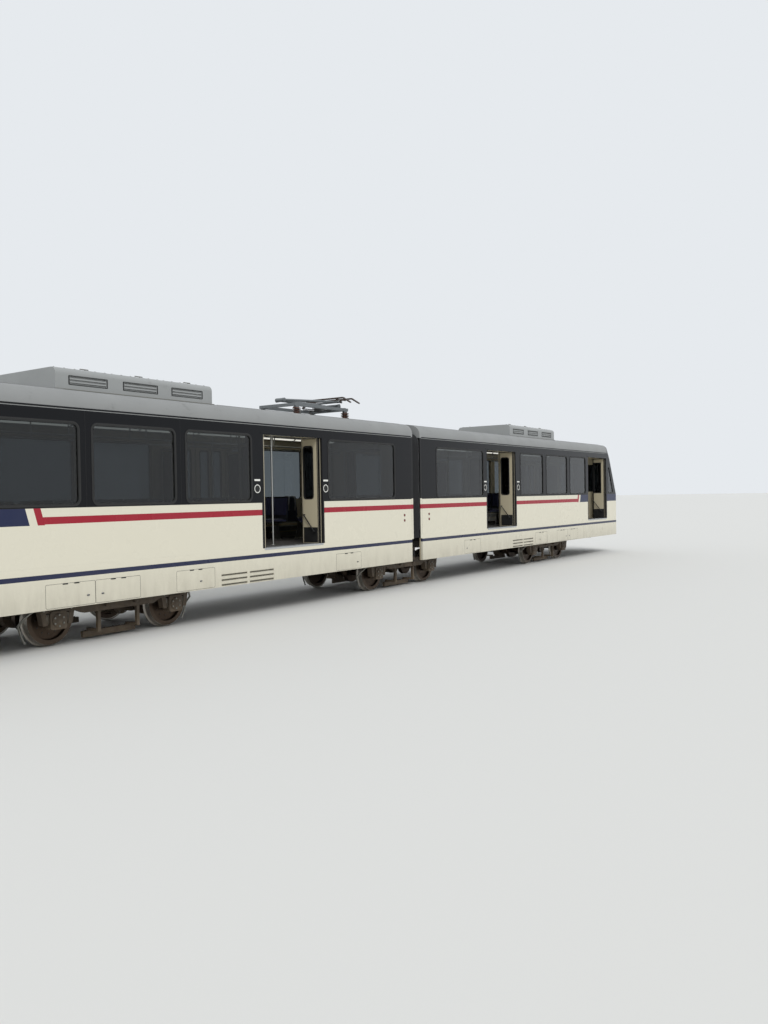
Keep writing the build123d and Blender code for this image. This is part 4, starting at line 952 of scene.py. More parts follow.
for end, sx in ends:
    for index, (first, last) in enumerate(car["doorways"], start=1):
        edges = sorted((sx * first, sx * last))
        span = ((last - first) / 2 - leaf["pivotInset"] - leaf["seam"]) / 2
        windowY = leaf["line"] + span / 2 + leaf["windowShift"]
        farY = leaf["line"] + span - leaf["seam"] / 2
        for jamb, edge, turn in (("left", edges[0], 1), ("right", edges[1], -1)):
            post = edge + turn * leaf["pivotInset"]
            name = f"{end}{index}_{jamb}"
            for part, x, inside, nearY in (
                ("post", post, -turn, leaf["line"] - leaf["thick"] / 2),
                ("edge", post + turn * (leaf["thick"] + leaf["gap"]), turn, leaf["line"] + leaf["seam"]),
            ):
                dressLeaf(f"{name}_{part}", f"door_{name}_{part}", x, inside, nearY, farY, windowY, leaf)
print("door leaves dressed")

# Shut doors of the far side: panes, seals, lining, rubber edges and pull handles
farDoor = {
    "line": 1.275, "gap": 0.002, "rim": 0.013, "liningTop": 3.128, "kick": (1.175, 1.464),
    "strip": (0.0018, 1.170, 3.140, 0.0008),
    "handle": ((0.0, 1.66), (0.038, 1.67), (0.038, 1.94), (0.0, 1.95)),
    "handlePlace": 0.87, "handleRadius": 0.010,
}
pane, rubber, lining, kick, metal, infill = shapesFor(6)
half, line = leaf["thick"] / 2, farDoor["line"]
face = line - half
for first, last in car["doorways"]:
    pitch = (last - first) / 4
    for k in range(4):
        x0, x1 = first + k * pitch + farDoor["gap"], first + (k + 1) * pitch - farDoor["gap"]
        u = first + (k + 0.5) * pitch + (-1) ** k * leaf["windowShift"]
        foot, head = leafWindow((pane, rubber, infill), "Y", u, line, [farDoor["rim"]] * 2, leaf)
        window = (u - leaf["window"][0] / 2, u + leaf["window"][0] / 2, foot, head)
        near, far, sheet = x0 + leaf["margin"], x1 - leaf["margin"], (face, face - leaf["sheet"])
        sheetFoot, sheetHead = leaf["kickTop"], farDoor["liningTop"]
        addLining(lining, "Y", sheet, near, far, sheetFoot, sheetHead, window, farDoor["rim"])
        addSlab(kick, panel(near, far, *farDoor["kick"]), "Y", *sheet)
        width, low, high, proud = farDoor["strip"]
        for x in (x0, x1):
            addSlab(kick, panel(x - width, x + width, low, high), "Y", face, line + half + proud)
    for side in (-1, 1):
        x = (first + last) / 2 + side * pitch * farDoor["handlePlace"]
        addTube(metal, [(x, face - out, z) for out, z in farDoor["handle"]], farDoor["handleRadius"])
finishCopies(sections, [
    ("farInfills", infill, "bandEnamel", "door_paint"),
    ("farGlass", pane, "tintedGlass", "window_glass"),
    ("farSeals", rubber, "rubber", "door_paint"),
    ("farLinings", lining, "laminate", "wall_lining"),
    ("farEdges", kick, "rubber", "door_paint"),
    ("farHandles", metal, "stainless", "door_paint", smooth),
])
print("far doors dressed")

# Seats: moulded shells on steel legs, with crowned moquette pads
seating = {
    "rows": ((0.8, 1), (1.9, -1), (2.6, 1), (5.45, -1), (6.3, 1), (7.3, -1), (8.15, 1), (9.3, -1)),
    "wallSide": 1.245, "benchWidth": 0.900, "places": 2, "depth": 0.450, "height": 0.430, "backHeight": 0.900,
    "recline": 0.060, "shell": 0.012, "padRim": 0.034, "padCrown": 0.020, "pipe": 0.0045,
    "beam": (0.045, 0.098, 0.064), "legPlate": (0.110, 0.050, 0.096, 0.130, 0.138),
    "footPlate": (0.110, 0.090, 0.180),
    "handle": ((0.024, 0.020, -0.300), (0.024, 0.012, -0.160), (0.036, 0.014, -0.020),
               (0.030, 0.050, -0.004), (0.030, 0.130, -0.004)), "handleRadius": 0.011,
    "driver": (12.040, -0.620, 0.460), "pedestal": ((0.0, 0.0), (0.060, 0.0), (0.060, 0.012), (0.050, 0.03),
                                                    (0.050, 0.33), (0.058, 0.355), (0.0, 0.355)),
    "arm": ((-0.20, 0.17), (-0.08, 0.20), (0.10, 0.20)), "armSide": 0.215, "armRadius": 0.013,
}


def addSeat(shells, pads, piping, x, facing, y, width, s):
    floor, top = car["floorTop"], car["floorTop"] + s["height"]
    crown, lean = floor + s["backHeight"], s["recline"]
    front, rear = x + facing * s["depth"] / 2, x - facing * s["depth"] / 2
    side = [(front + facing * along, top + lift) for along, lift in (
        (0.0, -0.075), (-0.012, -0.052), (-0.050, -0.050),
    )]
    side += [(rear + facing * along, high) for along, high in (
        (0.085, top - 0.066), (0.040, top - 0.050), (0.018, top + 0.030), (0.012 - lean, crown - 0.030),
        (0.020 - lean, crown - 0.006), (0.050 - lean, crown - 0.004),
    )]
    addSlab(shells, ribbon(side, -facing * s["shell"]), "Y", y - width / 2 + 0.008, y + width / 2 - 0.008)
    slope = math.atan2(lean, s["backHeight"] - s["height"])
    tall = s["backHeight"] - s["height"] - 0.090
    middle = (rear + facing * (0.046 - lean * 0.55), y, floor + (s["height"] + s["backHeight"]) / 2 + 0.020)
    back = Matrix.Translation(middle) @ Matrix.Rotation(facing * (math.pi / 2 - slope), 4, "Y")
    if facing < 0:
        back = back @ Matrix.Rotation(math.pi, 4, "Z")
    base = Matrix.Translation((x + facing * 0.030, y, top - 0.030))
    for place, size, swell in (
        (base, (s["depth"] - 0.075, width - 0.030, s["padRim"]), s["padCrown"]),
        (back, (tall, width - 0.040, s["padRim"] - 0.008), s["padCrown"] * 0.7),
    ):
        addTube(piping, addCushion(pads, place, size, swell), s["pipe"], sides=6, closed=True)


def addBench(steel, bolts, place, facing, s):
    # beam under the pans, leg plate towards the aisle, foot plate, handle on the corner of the back
    floor, top = car["floorTop"], car["floorTop"] + s["height"]
    aisle = s["wallSide"] - s["benchWidth"]
    half, low, high = s["beam"]
    addBox(steel, (place - half, aisle + 0.030, top - low), (place + half, s["wallSide"], top - high))
    foot, head, under, near, far = s["legPlate"]
    leg = [(place - foot, floor), (place + foot, floor)]
    leg += [(place + head, top - under), (place - head, top - under)]
    addSlab(steel, leg, "Y", aisle + near, aisle + far)
    half, near, far = s["footPlate"]
    addBox(steel, (place - half, aisle + near, floor), (place + half, aisle + far, floor + 0.006))
    feet = ((-0.085, 0.105), (-0.085, 0.165), (0.085, 0.105), (0.085, 0.165))
    bolts += [((place + dx, aisle + dy, floor + 0.008), (0, 0, 1)) for dx, dy in feet]
    rear, crown = place - facing * s["depth"] / 2, floor + s["backHeight"]
    grip = [(rear - facing * back, aisle + side, crown + lift) for back, side, lift in s["handle"]]
    addTube(steel, grip, s["handleRadius"])


shells, pads, piping, steel = shapesFor(4)
bolts = []
each = seating["benchWidth"] / seating["places"]
for x, facing in seating["rows"]:
    for k in range(seating["places"]):
        addSeat(shells, pads, piping, x, facing, seating["wallSide"] - each * (k + 0.5), each, seating)
    addBench(steel, bolts, x, facing, seating)
addMirror("Y", shells, pads, piping, steel, bolts)
# driver's chair on its pedestal
x, y, width = seating["driver"]
addSeat(shells, pads, piping, x, 1, y, width, seating)
addTurned(steel, fromFace(seating["pedestal"], car["floorTop"]), (x, y, 0), "Z", 28)
rest = car["floorTop"] + seating["height"]
for side in (-1, 1):
    arm = [(x + along, y + side * seating["armSide"], rest + lift) for along, lift in seating["arm"]]
    addTube(piping, arm, seating["armRadius"])
seats = finishCopies(sections, [
    ("seatShells", shells, "shellPlastic", "seat_cover", {"bevel": 0.003}),
    ("seatPads", pads, "seatFabric", "seat_cover", smooth),
    ("seatPiping", piping, "rubber", "seat_cover", smooth),
    ("seatLegs", steel, "stainless", "seat_cover", {"bevel": 0.0015}),
    ("seatBolts", bolts, "brightBolt", "seat_cover", boltM12),
])
for end, _ in ends:
    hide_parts(f"seats_{end}")
print("seats made")

# Ceiling, rails, door gear and thresholds inside the sections
cabin = {
    "ceiling": 3.300, "lampY": 0.700, "lampStart": 0.420, "lampPitch": 1.385, "lampCount": 8,
    "lampGap": 0.012,
    "lamp": ((-0.075, -0.006), (-0.055, -0.030), (0.0, -0.036), (0.055, -0.030), (0.075, -0.006),
             (0.075, -0.001), (-0.075, -0.001)),
    "lampRim": ((-0.085, -0.0005), (-0.061, -0.036), (0.061, -0.036), (0.085, -0.0005)), "lampRimHalf": 0.009,
    "railY": 0.480, "railHeight": 3.020, "railRadius": 0.016, "railStart": 0.400, "railEnd": 11.500,
    "hangerPitch": 1.110, "hangers": 9, "poleX": (4.100, 10.860), "poleY": 0.780, "poleRadius": 0.017,
    "flange": ((0.017, 0.0), (0.044, 0.0), (0.044, 0.005), (0.022, 0.018), (0.017, 0.018)),
    "coverDepth": 0.215, "coverBottom": 3.156, "coverScrewZ": 3.225, "wallSide": 1.245,
    "threshold": (1.3245, 1.130, 1.3252, 1.3290), "ribStart": 1.316, "ribPitch": 0.012, "ribs": 15,
    "heaterRuns": ((0.225, 3.225), (4.975, 9.995)), "slatPitch": 0.040, "ventStart": 0.50, "ventPitch": 0.060,
    "vents": 184,
}
low, high = car["floorTop"], cabin["ceiling"]
opal, frames, rails, covers, plates, kicks = shapesFor(6)
rivets, ribs, grille, screws = [], [], [], []
lampEnd = cabin["lampStart"] + cabin["lampCount"] * cabin["lampPitch"]
for k in range(cabin["lampCount"]):
    x0 = cabin["lampStart"] + k * cabin["lampPitch"] + cabin["lampGap"]
    x1 = x0 + cabin["lampPitch"] - 2 * cabin["lampGap"]
    addSlab(opal, [(cabin["lampY"] + side, high + lift) for side, lift in cabin["lamp"]], "X", x0, x1)
    rim = [(cabin["lampY"] + side, high + lift) for side, lift in cabin["lampRim"]]
    half = cabin["lampRimHalf"]
    for x in (x0, x1):
        addSlab(frames, rim, "X", x - half, x + half)
for a, b in ((-0.075, -0.087), (0.075, 0.087)):
    y = cabin["lampY"]
    addBox(frames, (cabin["lampStart"], y + a, high - 0.010), (lampEnd, y + b, high - 0.0004))
# grab rail with its hangers
y, height, first, last = (cabin[key] for key in ("railY", "railHeight", "railStart", "railEnd"))
turn = ((0.0, high - 0.002), (0.0, height + 0.05), (0.015, height + 0.015), (0.05, height))
run = [(first + along, y, z) for along, z in turn] + [(last - along, y, z) for along, z in reversed(turn)]
addTube(rails, run, cabin["railRadius"], sides=12)
hanger = [(0.0, high - 0.001), (0.032, high - 0.001), (0.032, high - 0.007), (0.011, high - 0.014)]
hanger += [(0.011, height), (0.0, height)]
for k in range(cabin["hangers"]):
    x = first + (k + 1) * cabin["hangerPitch"]
    addTurned(rails, hanger, (x, y, 0), "Z", 16)
    addTurned(rails, washer(0.0160, 0.0205, x - 0.018, x + 0.018), (0, y, height), "X", 14)
# door gear covers over each doorway, with an inspection seam and screws
wall, bottom = cabin["wallSide"], cabin["coverBottom"]
face = wall - cabin["coverDepth"]
section = [(wall, high - 0.0005), (wall, bottom), (face + 0.030, bottom), (face, bottom + 0.030)]
section.append((face, high - 0.0005))
outer, inner, noseIn, noseOut = cabin["threshold"]
for first, last in car["doorways"]:
    middle = (first + last) / 2
    for a, b in ((first + 0.006, middle - 0.0015), (middle + 0.0015, last - 0.006)):
        addSlab(covers, section, "X", a, b)
    places = (first + 0.06, middle - 0.06, middle + 0.06, last - 0.06)
    screws += [((x, face - 0.001, cabin["coverScrewZ"]), (0, -1, 0)) for x in places]
    # threshold plate with its ribs and an outer nosing
    addBox(plates, (first + 0.002, outer, low), (last - 0.002, inner, low + 0.0010))
    addBox(plates, (first + 0.002, noseIn, low - 0.030), (last - 0.002, noseOut, low + 0.0010))
    across = [cabin["ribStart"] - cabin["ribPitch"] * k for k in range(cabin["ribs"])]
    ribs += [((middle, y, low + 0.0014), (0, 0, 1)) for y in across]
    pitch = (last - first - 0.16) / 9
    rivets += [((first + 0.08 + k * pitch, 1.1365, low + 0.0012), (0, 0, 1)) for k in range(10)]
# kick boards and heater grilles along the wall between the doorways
for a, b in cabin["heaterRuns"]:
    addBox(kicks, (a, 1.2448, low), (b, 1.2330, low + 0.110))
    addBox(kicks, (a, 1.2448, low + 0.125), (b, 1.2200, low + 0.250))
    count = int((b - a - 0.12) / cabin["slatPitch"]) + 1
    grille += [((a + 0.06 + k * cabin["slatPitch"], 1.2190, low + 0.187), (0, 0, 1)) for k in range(count)]
for x in cabin["poleX"]:
    addTube(rails, [(x, cabin["poleY"], low), (x, cabin["poleY"], high)], cabin["poleRadius"], sides=14)
    for z, way in ((low, 1), (high, -1)):
        addTurned(rails, fromFace(cabin["flange"], z, way), (x, cabin["poleY"], 0), "Z", 18)
# edges of the air slots along the middle of the ceiling
addBox(frames, (0.40, 0.170, high - 0.012), (11.55, 0.182, high - 0.0004))
addMirror("Y", opal, frames, rails, covers, plates, kicks, rivets, ribs, grille, screws)
first, pitch = cabin["ventStart"], cabin["ventPitch"]
vents = [((first + k * pitch, 0, high - 0.006), (0, 0, 1)) for k in range(cabin["vents"])]
doorWidth = car["doorways"][0][1] - car["doorways"][0][0]
finishCopies(sections, [
    ("ceilingDiffusers", opal, "diffuser", "wall_lining", eased),
    ("ceilingFrames", frames, "aluminium", "wall_lining"),
    ("grabRails", rails, "stainless", "wall_lining", smooth),
    ("doorGearCovers", covers, "laminate", "wall_lining", eased),
    ("thresholds", plates, "aluminium", "underframe_paint"),
    ("heaterCovers", kicks, "stainless", "wall_lining", eased),
    ("thresholdRibs", ribs, "aluminiumRib", "underframe_paint", (doorWidth - 0.03, 0.0045, 0.0014)),
    ("thresholdRivets", rivets, "brightBolt", "underframe_paint", (0.0045, 0.0012, 0.0050, 0.0006)),
    ("coverScrews", screws, "brightBolt", "wall_lining", boltM6),
    ("heaterSlats", grille, "grilleSlat", "wall_lining", (0.016, 0.0022, 0.085)),
    ("ceilingSlots", vents, "aluminiumRib", "wall_lining", (0.030, 0.330, 0.009)),
])
print("cabin fitted")

# Screens beside the doorways: glazed upper part and rim; the driver's place
screen = {
    "depth": 0.440, "thick": 0.020, "top": 3.000, "glassLow": 1.960, "glassHigh": 2.940, "wallEdge": 1.2445,
    "partition": ((11.700, -1), (11.740, 1)), "partitionDoor": (0.320, 1.165, 3.050, 0.035),
    "partitionPane": (0.780, 2.500, 0.660, 0.900, 0.07), "places": ((3.250, -1), (4.950, 1), (10.020, -1)),
    "screens": ((-0.62, 0.22), (-0.30, 0.22), (0.05, 0.18)), "screenX": 12.56, "screenZ": 2.052,
    "screenTilt": 58,
    "handles": (-0.75, -0.35), "handleX": (12.42, 12.41),
    "foot": ((0.0, 1.955), (0.040, 1.955), (0.040, 1.985), (0.030, 2.000), (0.0, 2.002)),
    "knob": ((0.0, 2.08), (0.017, 2.085), (0.021, 2.105), (0.015, 2.125), (0.0, 2.13)),
    "key": (0.007, 0.010, 0.010, 0.004),
}
rims, dark, pads, panes, levers = shapesFor(5)
near, far = screen["wallEdge"], 1.245 - screen["depth"] + 0.018
foot, head = car["floorTop"] + 0.01, screen["top"] + 0.002
glassTall = screen["glassHigh"] - screen["glassLow"]
glassMiddle = (screen["glassLow"] + screen["glassHigh"]) / 2
for edge, away in screen["places"]:
    x = edge + away * screen["thick"] / 2
    hole = panel(near - 0.014, far + 0.014, foot + 0.014, head - 0.014)
    addSlab(rims, panel(near, far, foot, head), "X", x - 0.0125, x + 0.0125, hole)
    # tinted upper pane in its rubber on both faces
    for side in (-1, 1):
        face, u, wide = x + side * 0.0102, (near + far) / 2, near - far - 0.090
        inner = roundedOutline(u, glassMiddle, wide - 0.036, glassTall - 0.036, 0.032)
        outer = roundedOutline(u, glassMiddle, wide, glassTall, 0.05)
        addSlab(dark, outer, "X", face, face + side * 0.004, inner)
        addSlab(panes, inner, "X", face, face + side * 0.0012)
# doorway trim and panes of the cab partition
half, foot, head, width = screen["partitionDoor"]
u, v, wide, tall, corner = screen["partitionPane"]
for face, out in screen["partition"]:
    inner = roundedOutline(u, v, wide - 0.040, tall - 0.040, corner - 0.02)
    addSlab(dark, roundedOutline(u, v, wide, tall, corner), "X", face, face + out * 0.005, inner)
    addSlab(panes, inner, "X", face, face + out * 0.0015)
addMirror("Y", rims, dark, panes)
for face, out in screen["partition"]:
    doorway = [(-half, foot), (-half, head), (half, head), (half, foot)]
    addSlab(rims, ribbon(doorway, width), "X", face, face + out * 0.004)
# desk: hooded blank screens, two handles and keys
for y, wide in screen["screens"]:
    tilt = Matrix.Rotation(-math.radians(screen["screenTilt"]), 4, "Y")
    place = Matrix.Translation((screen["screenX"], y, screen["screenZ"])) @ tilt
    bmesh.ops.create_cube(pads, size=1, matrix=place @ Matrix.Diagonal((0.150, wide, 0.050, 1)))
    lid = Matrix.Translation((0, 0, 0.026)) @ Matrix.Diagonal((0.120, wide - 0.03, 0.004, 1))
    bmesh.ops.create_cube(panes, size=1, matrix=place @ lid)
lower, upper = screen["handleX"]
for y in screen["handles"]:
    addTurned(dark, screen["foot"], (lower, y, 0.0), "Z", 24)
    addTube(levers, [(lower, y, 1.99), (upper, y, 2.09)], 0.008)
    addTurned(dark, screen["knob"], (upper, y, 0), "Z", 16)
keys = [
    ((12.475 + 0.028 * i, -0.46 + 0.045 * j, 1.985 + 0.0045 * i), (-0.157, 0, 1))
    for i in range(3) for j in range(12)
]
finishCopies(sections, [
    ("screenRims", rims, "aluminium", "screen_laminate"),
    ("screenSeals", dark, "rubber", "screen_laminate"),
    ("screenPanes", panes, "tintedGlass", "screen_laminate"),
    ("deskHoods", pads, "deskPlastic", "screen_laminate", {"bevel": 0.006}),
    ("deskLevers", levers, "stainless", "screen_laminate", smooth),
    ("deskKeys", keys, "zincBolt", "screen_laminate", screen["key"]),
])
print("screens and desk made")

# Outside of the body: hatches, locks, gutters, ring marks, lamps by the joint
outside = {
    "hatches": ((7.600, 8.376, 8.260), (8.384, 9.160, 8.500), (6.100, 6.900, 6.400), (2.100, 2.900, 2.220)),
    "hatchRows": (0.606, 0.925), "lockZ": 0.730, "hinges": (-0.09, 0.09),
    "lock": ((0.0, 0.0), (0.0, 0.0030), (0.010, 0.0032), (0.018, 0.0020), (0.018, 0.0)),
    "sheetJoints": (1.400, 2.950, 6.770, 8.490, 9.960), "lowJoints": (0.215, 3.245, 4.955, 10.015, 11.735),
    "waistJoints": ((0.212, 3.248), (4.952, 10.018)), "gutterRun": (0.215, 11.735),
    "gutter": ((0.0, 3.312), (0.0070, 3.315), (0.0076, 3.334), (0.0056, 3.334), (0.005, 3.322), (0.0, 3.322)),
    "dripLip": ((0.0, 3.172), (0.0070, 3.168), (0.0070, 3.175), (0.0, 3.182)), "dripReach": 0.06,
    "ringX": (5.062, 3.192), "ringZ": 2.200, "ringRadius": 0.074, "ringRim": 0.012,
    "plate": (2.350, 0.140, 0.032, 0.005),
    "markerX": 0.500, "markers": (1.498, 1.612), "markerRadius": 0.028,
    "bladeX": (4.99, 5.65), "bladeZ": (0.620, 0.700, 0.780), "blade": (0.598, 0.016, 0.0018),
    "bladeLean": (0, 0.55, 0.83),
}
seams, locks, rings, plates, gutters, lenses, bezels = shapesFor(7)
skin = car["halfWidth"]
low, high = outside["hatchRows"]
for first, last, lockX in outside["hatches"]:
    u, v, wide, tall = (first + last) / 2, (low + high) / 2, last - first, high - low
    gap = roundedOutline(u, v, wide + 0.008, tall + 0.008, 0.024)
    addSlab(seams, gap, "Y", skin - 0.001, skin + 0.0008, roundedOutline(u, v, wide, tall, 0.020))
    lockZ = outside["lockZ"]
    addTurned(locks, fromFace(outside["lock"], skin), (lockX, 0, lockZ), "Y", 20)
    addBox(seams, (lockX - 0.022, skin, lockZ - 0.006), (lockX + 0.022, skin + 0.0062, lockZ + 0.006))
    for hinge in outside["hinges"]:
        addBox(seams, (u + hinge - 0.04, skin, high - 0.012), (u + hinge + 0.04, skin + 0.006, high + 0.002))
# sheet joints of the lower side and of the band
foot, sill, head = car["floorTop"], car["sill"], car["cant"]
joints = [(x - 0.0016, x + 0.0016, 0.0007, sill + 0.004, head - 0.004) for x in outside["sheetJoints"]]
joints += [(x - 0.0012, x + 0.0012, 0.0006, foot + 0.010, sill - 0.004) for x in outside["lowJoints"]]
joints += [(a, b, 0.0009, sill - 0.0022, sill + 0.0022) for a, b in outside["waistJoints"]]
for a, b, out, foot, head in joints:
    addBox(seams, (a, skin - 0.001, foot), (b, skin + out, head))
# gutter over the band, drip lips over the doorways, rubber in the jambs
addSlab(gutters, [(skin + out, z) for out, z in outside["gutter"]], "X", *outside["gutterRun"])
lip, reach = [(skin + out, z) for out, z in outside["dripLip"]], outside["dripReach"]
for first, last in car["doorways"]:
    addSlab(gutters, lip, "X", first - reach, last + reach)
    for x, way in ((first, 1), (last, -1)):
        foot, head = car["floorTop"] + 0.006, car["doorTop"] - 0.006
        addBox(seams, (x, skin - 0.012, foot), (x + way * 0.0030, skin - 0.0300, head))
# blank ring disc and blank plate on the dark pillars
radius, rim = outside["ringRadius"], outside["ringRadius"] - outside["ringRim"]
disc = ((0.0, 0.0), (radius, 0.0), (radius, 0.0016), (rim, 0.0016), (rim, 0.0010), (0.0, 0.0010))
inlay = ((0.0, 0.0009), (rim - 0.002, 0.0009), (rim - 0.002, 0.0018), (0.0, 0.0018))
z, wide, tall, corner = outside["plate"]
for x in outside["ringX"]:
    addTurned(rings, fromFace(disc, skin), (x, 0, outside["ringZ"]), "Y", 40)
    addTurned(bezels, fromFace(inlay, skin), (x, 0, outside["ringZ"]), "Y", 40)
    addSlab(plates, roundedOutline(x, z, wide, tall, corner), "Y", skin, skin + 0.0014)
# marker lamps by the joint
r = outside["markerRadius"]
ring = ((r - 0.006, 0.0), (r, 0.0), (r, 0.0055), (r - 0.004, 0.0074), (r - 0.006, 0.0070))
dome = ((0.0, 0.0), (0.0, 0.0072), (0.012, 0.0066), (r - 0.006, 0.0045), (r - 0.006, 0.0))
for z in outside["markers"]:
    addTurned(bezels, fromFace(ring, skin), (outside["markerX"], 0, z), "Y", 28)
    addTurned(lenses, fromFace(dome, skin), (outside["markerX"], 0, z), "Y", 28)
# louvre blades in the grilles of the lower side
blades = [((x, skin - 0.011, z), outside["bladeLean"]) for x in outside["bladeX"] for z in outside["bladeZ"]]
addMirror("Y", seams, locks, rings, plates, gutters, lenses, bezels, blades)
dressed = finishCopies(sections, [
    ("sheetSeams", seams, "rubber", "cream_paint"),
    ("hatchLocks", locks, "stainless", "cream_paint", smooth),
    ("ringDiscs", rings, "whitePlate", "dark_paint", smooth),
    ("blankPlates", plates, "whitePlate", "dark_paint"),
    ("gutters", gutters, "bandEnamel", "roof_paint"),
    ("markerLenses", lenses, "redLens", "lamp_lens", smooth),
    ("markerBezels", bezels, "rubber", "lamp_lens", smooth),
    ("grilleBlades", blades, "grilleSlat", "cream_paint", outside["blade"]),
])
for end, _ in ends:
    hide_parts(f"lamps_{end}")
print("outside dressed")

# Cab: lamps, gaskets, wipers and the blank destination window
cab = {
    "lamps": ((0.930, 1.240, "clear"), (0.700, 1.240, "red")), "lampRadius": 0.0946,
    "bowl": ((0.0, -0.105), (0.030, -0.100), (0.058, -0.075), (0.0796, -0.020), (0.0796, -0.028),
             (0.055, -0.083), (0.0, -0.112)),
    "lens": ((0.0, 0.0060), (0.045, 0.0035), (0.0801, -0.006), (0.0801, -0.011), (0.045, -0.0015),
             (0.0, 0.001)),
    "bolt": (0.004, 0.0016, 0.0055, 0.0008), "screen": (2.080, 0.980, 0.120), "screenZ": 2.570,
    "gasket": 0.011,
    "side": ((11.830, 2.010), (12.290, 2.010), (11.930, 2.860), (11.830, 2.860)), "sideRound": 0.045,
    "spindle": ((0.0, 0.030), (0.015, 0.028), (0.020, 0.006), (0.026, 0.000), (0.026, -0.010), (0.0, -0.010)),
    "wiperFoot": (0.300, 2.050), "wiperTip": (0.560, 2.520),
    "wiperArm": ((0.0, 0.022), (0.25, 0.022), (0.6, 0.014), (1.0, 0.008)), "bladeStep": (0.012, 0.085),
    "sign": (0.560, 3.165, 3.285), "bumper": (0.420, 0.790, 0.835), "bumperBolts": (-0.36, 0.36),
    "waistHalf": 1.10,
}
bezels, bowls, clear, red, gaskets, wipers, sign, trims = shapesFor(8)
bolts = []
r = cab["lampRadius"]
bezel = ((r - 0.014, -0.030), (r, -0.125), (r, 0.004), (r - 0.004, 0.0078), (r - 0.014, 0.0078))
for y, z, kind in cab["lamps"]:
    face = noseAt(y, z)
    lens = clear if kind == "clear" else red
    for shape, profile in ((bezels, bezel), (bowls, cab["bowl"]), (lens, cab["lens"])):
        addTurned(shape, fromFace(profile, face), (0, y, z), "X", 40)
    bolts += ringSpots("X", (0, y, z), r - 0.007, face + 0.0080, 1, 4)
# gaskets of the side lights lie on the flat sides
corners = roundedPath(cab["side"], cab["sideRound"])
addTube(gaskets, [(x, car["halfWidth"] - 0.004, z) for x, z in corners], 0.009, closed=True)
# wipers: spindle, arm with spring cover, blade in its holder
base, tip = Vector(cab["wiperFoot"]), Vector(cab["wiperTip"])
addTurned(wipers, [(r, noseAt(*base, out)) for r, out in cab["spindle"]], (0, *base), "X", 20)
arm = [(noseAt(*base.lerp(tip, share), out), *base.lerp(tip, share)) for share, out in cab["wiperArm"]]
addTube(wipers, arm, 0.0065)
across, up = cab["bladeStep"]
blade = [(tip.x - 0.02 + across * k, tip.y - 4 * up + up * k) for k in range(9)]
addTube(wipers, onNose(blade, 0.002), 0.0075, sides=6)
addTube(gaskets, onNose(blade, -0.007), 0.004, sides=6)
addMirror("Y", bezels, bowls, clear, red, gaskets, wipers, bolts)
# windscreen gasket follows the nose
wide, tall, corner = cab["screen"]
middle = cab["screenZ"]
loop = roundedOutline(0, middle, wide + 0.010, tall + 0.010, corner + 0.005, steps=8)
dense = []
for (y, z), (nextY, nextZ) in zip(loop, loop[1:] + loop[:1]):
    count = max(1, round(math.hypot(nextY - y, nextZ - z) / 0.09))
    dense += [(y + (nextY - y) * i / count, z + (nextZ - z) * i / count) for i in range(count)]
addTube(gaskets, onNose(dense, 0.001), cab["gasket"], closed=True)
inner = [(y * 0.985, middle + (z - middle) * 0.97) for y, z in dense]
addTube(gaskets, onNose(inner, -0.012), 0.009, sides=6, closed=True)
# blank destination window
half, low, high = cab["sign"]
addNosePanel(trims, (-half - 0.025, half + 0.025), (low - 0.018, high + 0.010), -0.002, 0.0030)
addNosePanel(sign, (-half, half), (low, high), 0.0031, 0.0050)
# waist joint between mask and upper part, and the rubber bumper strip over the coupler
half = cab["waistHalf"]
addTube(gaskets, onNose([(half * (k / 11 - 1), car["sill"]) for k in range(23)], 0.0), 0.0045, sides=6)
half, low, high = cab["bumper"]
addNosePanel(trims, (-half, half), (low, high), -0.002, 0.004)
middle = (low + high) / 2
bolts += [((noseAt(y, middle, 0.005), y, middle), (1, y * 0.3, 0)) for y in cab["bumperBolts"]]
finishCopies(sections, [
    ("lampBezels", bezels, "stainless", "lamp_lens", smooth),
    ("lampReflectors", bowls, "reflector", "lamp_lens", smooth),
    ("headLenses", clear, "clearLens", "lamp_lens", smooth),
    ("tailLenses", red, "redLens", "lamp_lens", smooth),
    ("cabGaskets", gaskets, "rubber", "dark_paint", smooth),
    ("wipers", wipers, "couplerSteel", "dark_paint", smooth),
    ("cabTrims", trims, "rubber", "dark_paint"),
    ("signWindow", sign, "tintedGlass", "window_glass"),
    ("cabBolts", bolts, "brightBolt", "lamp_lens", cab["bolt"]),
])
print("cab dressed")
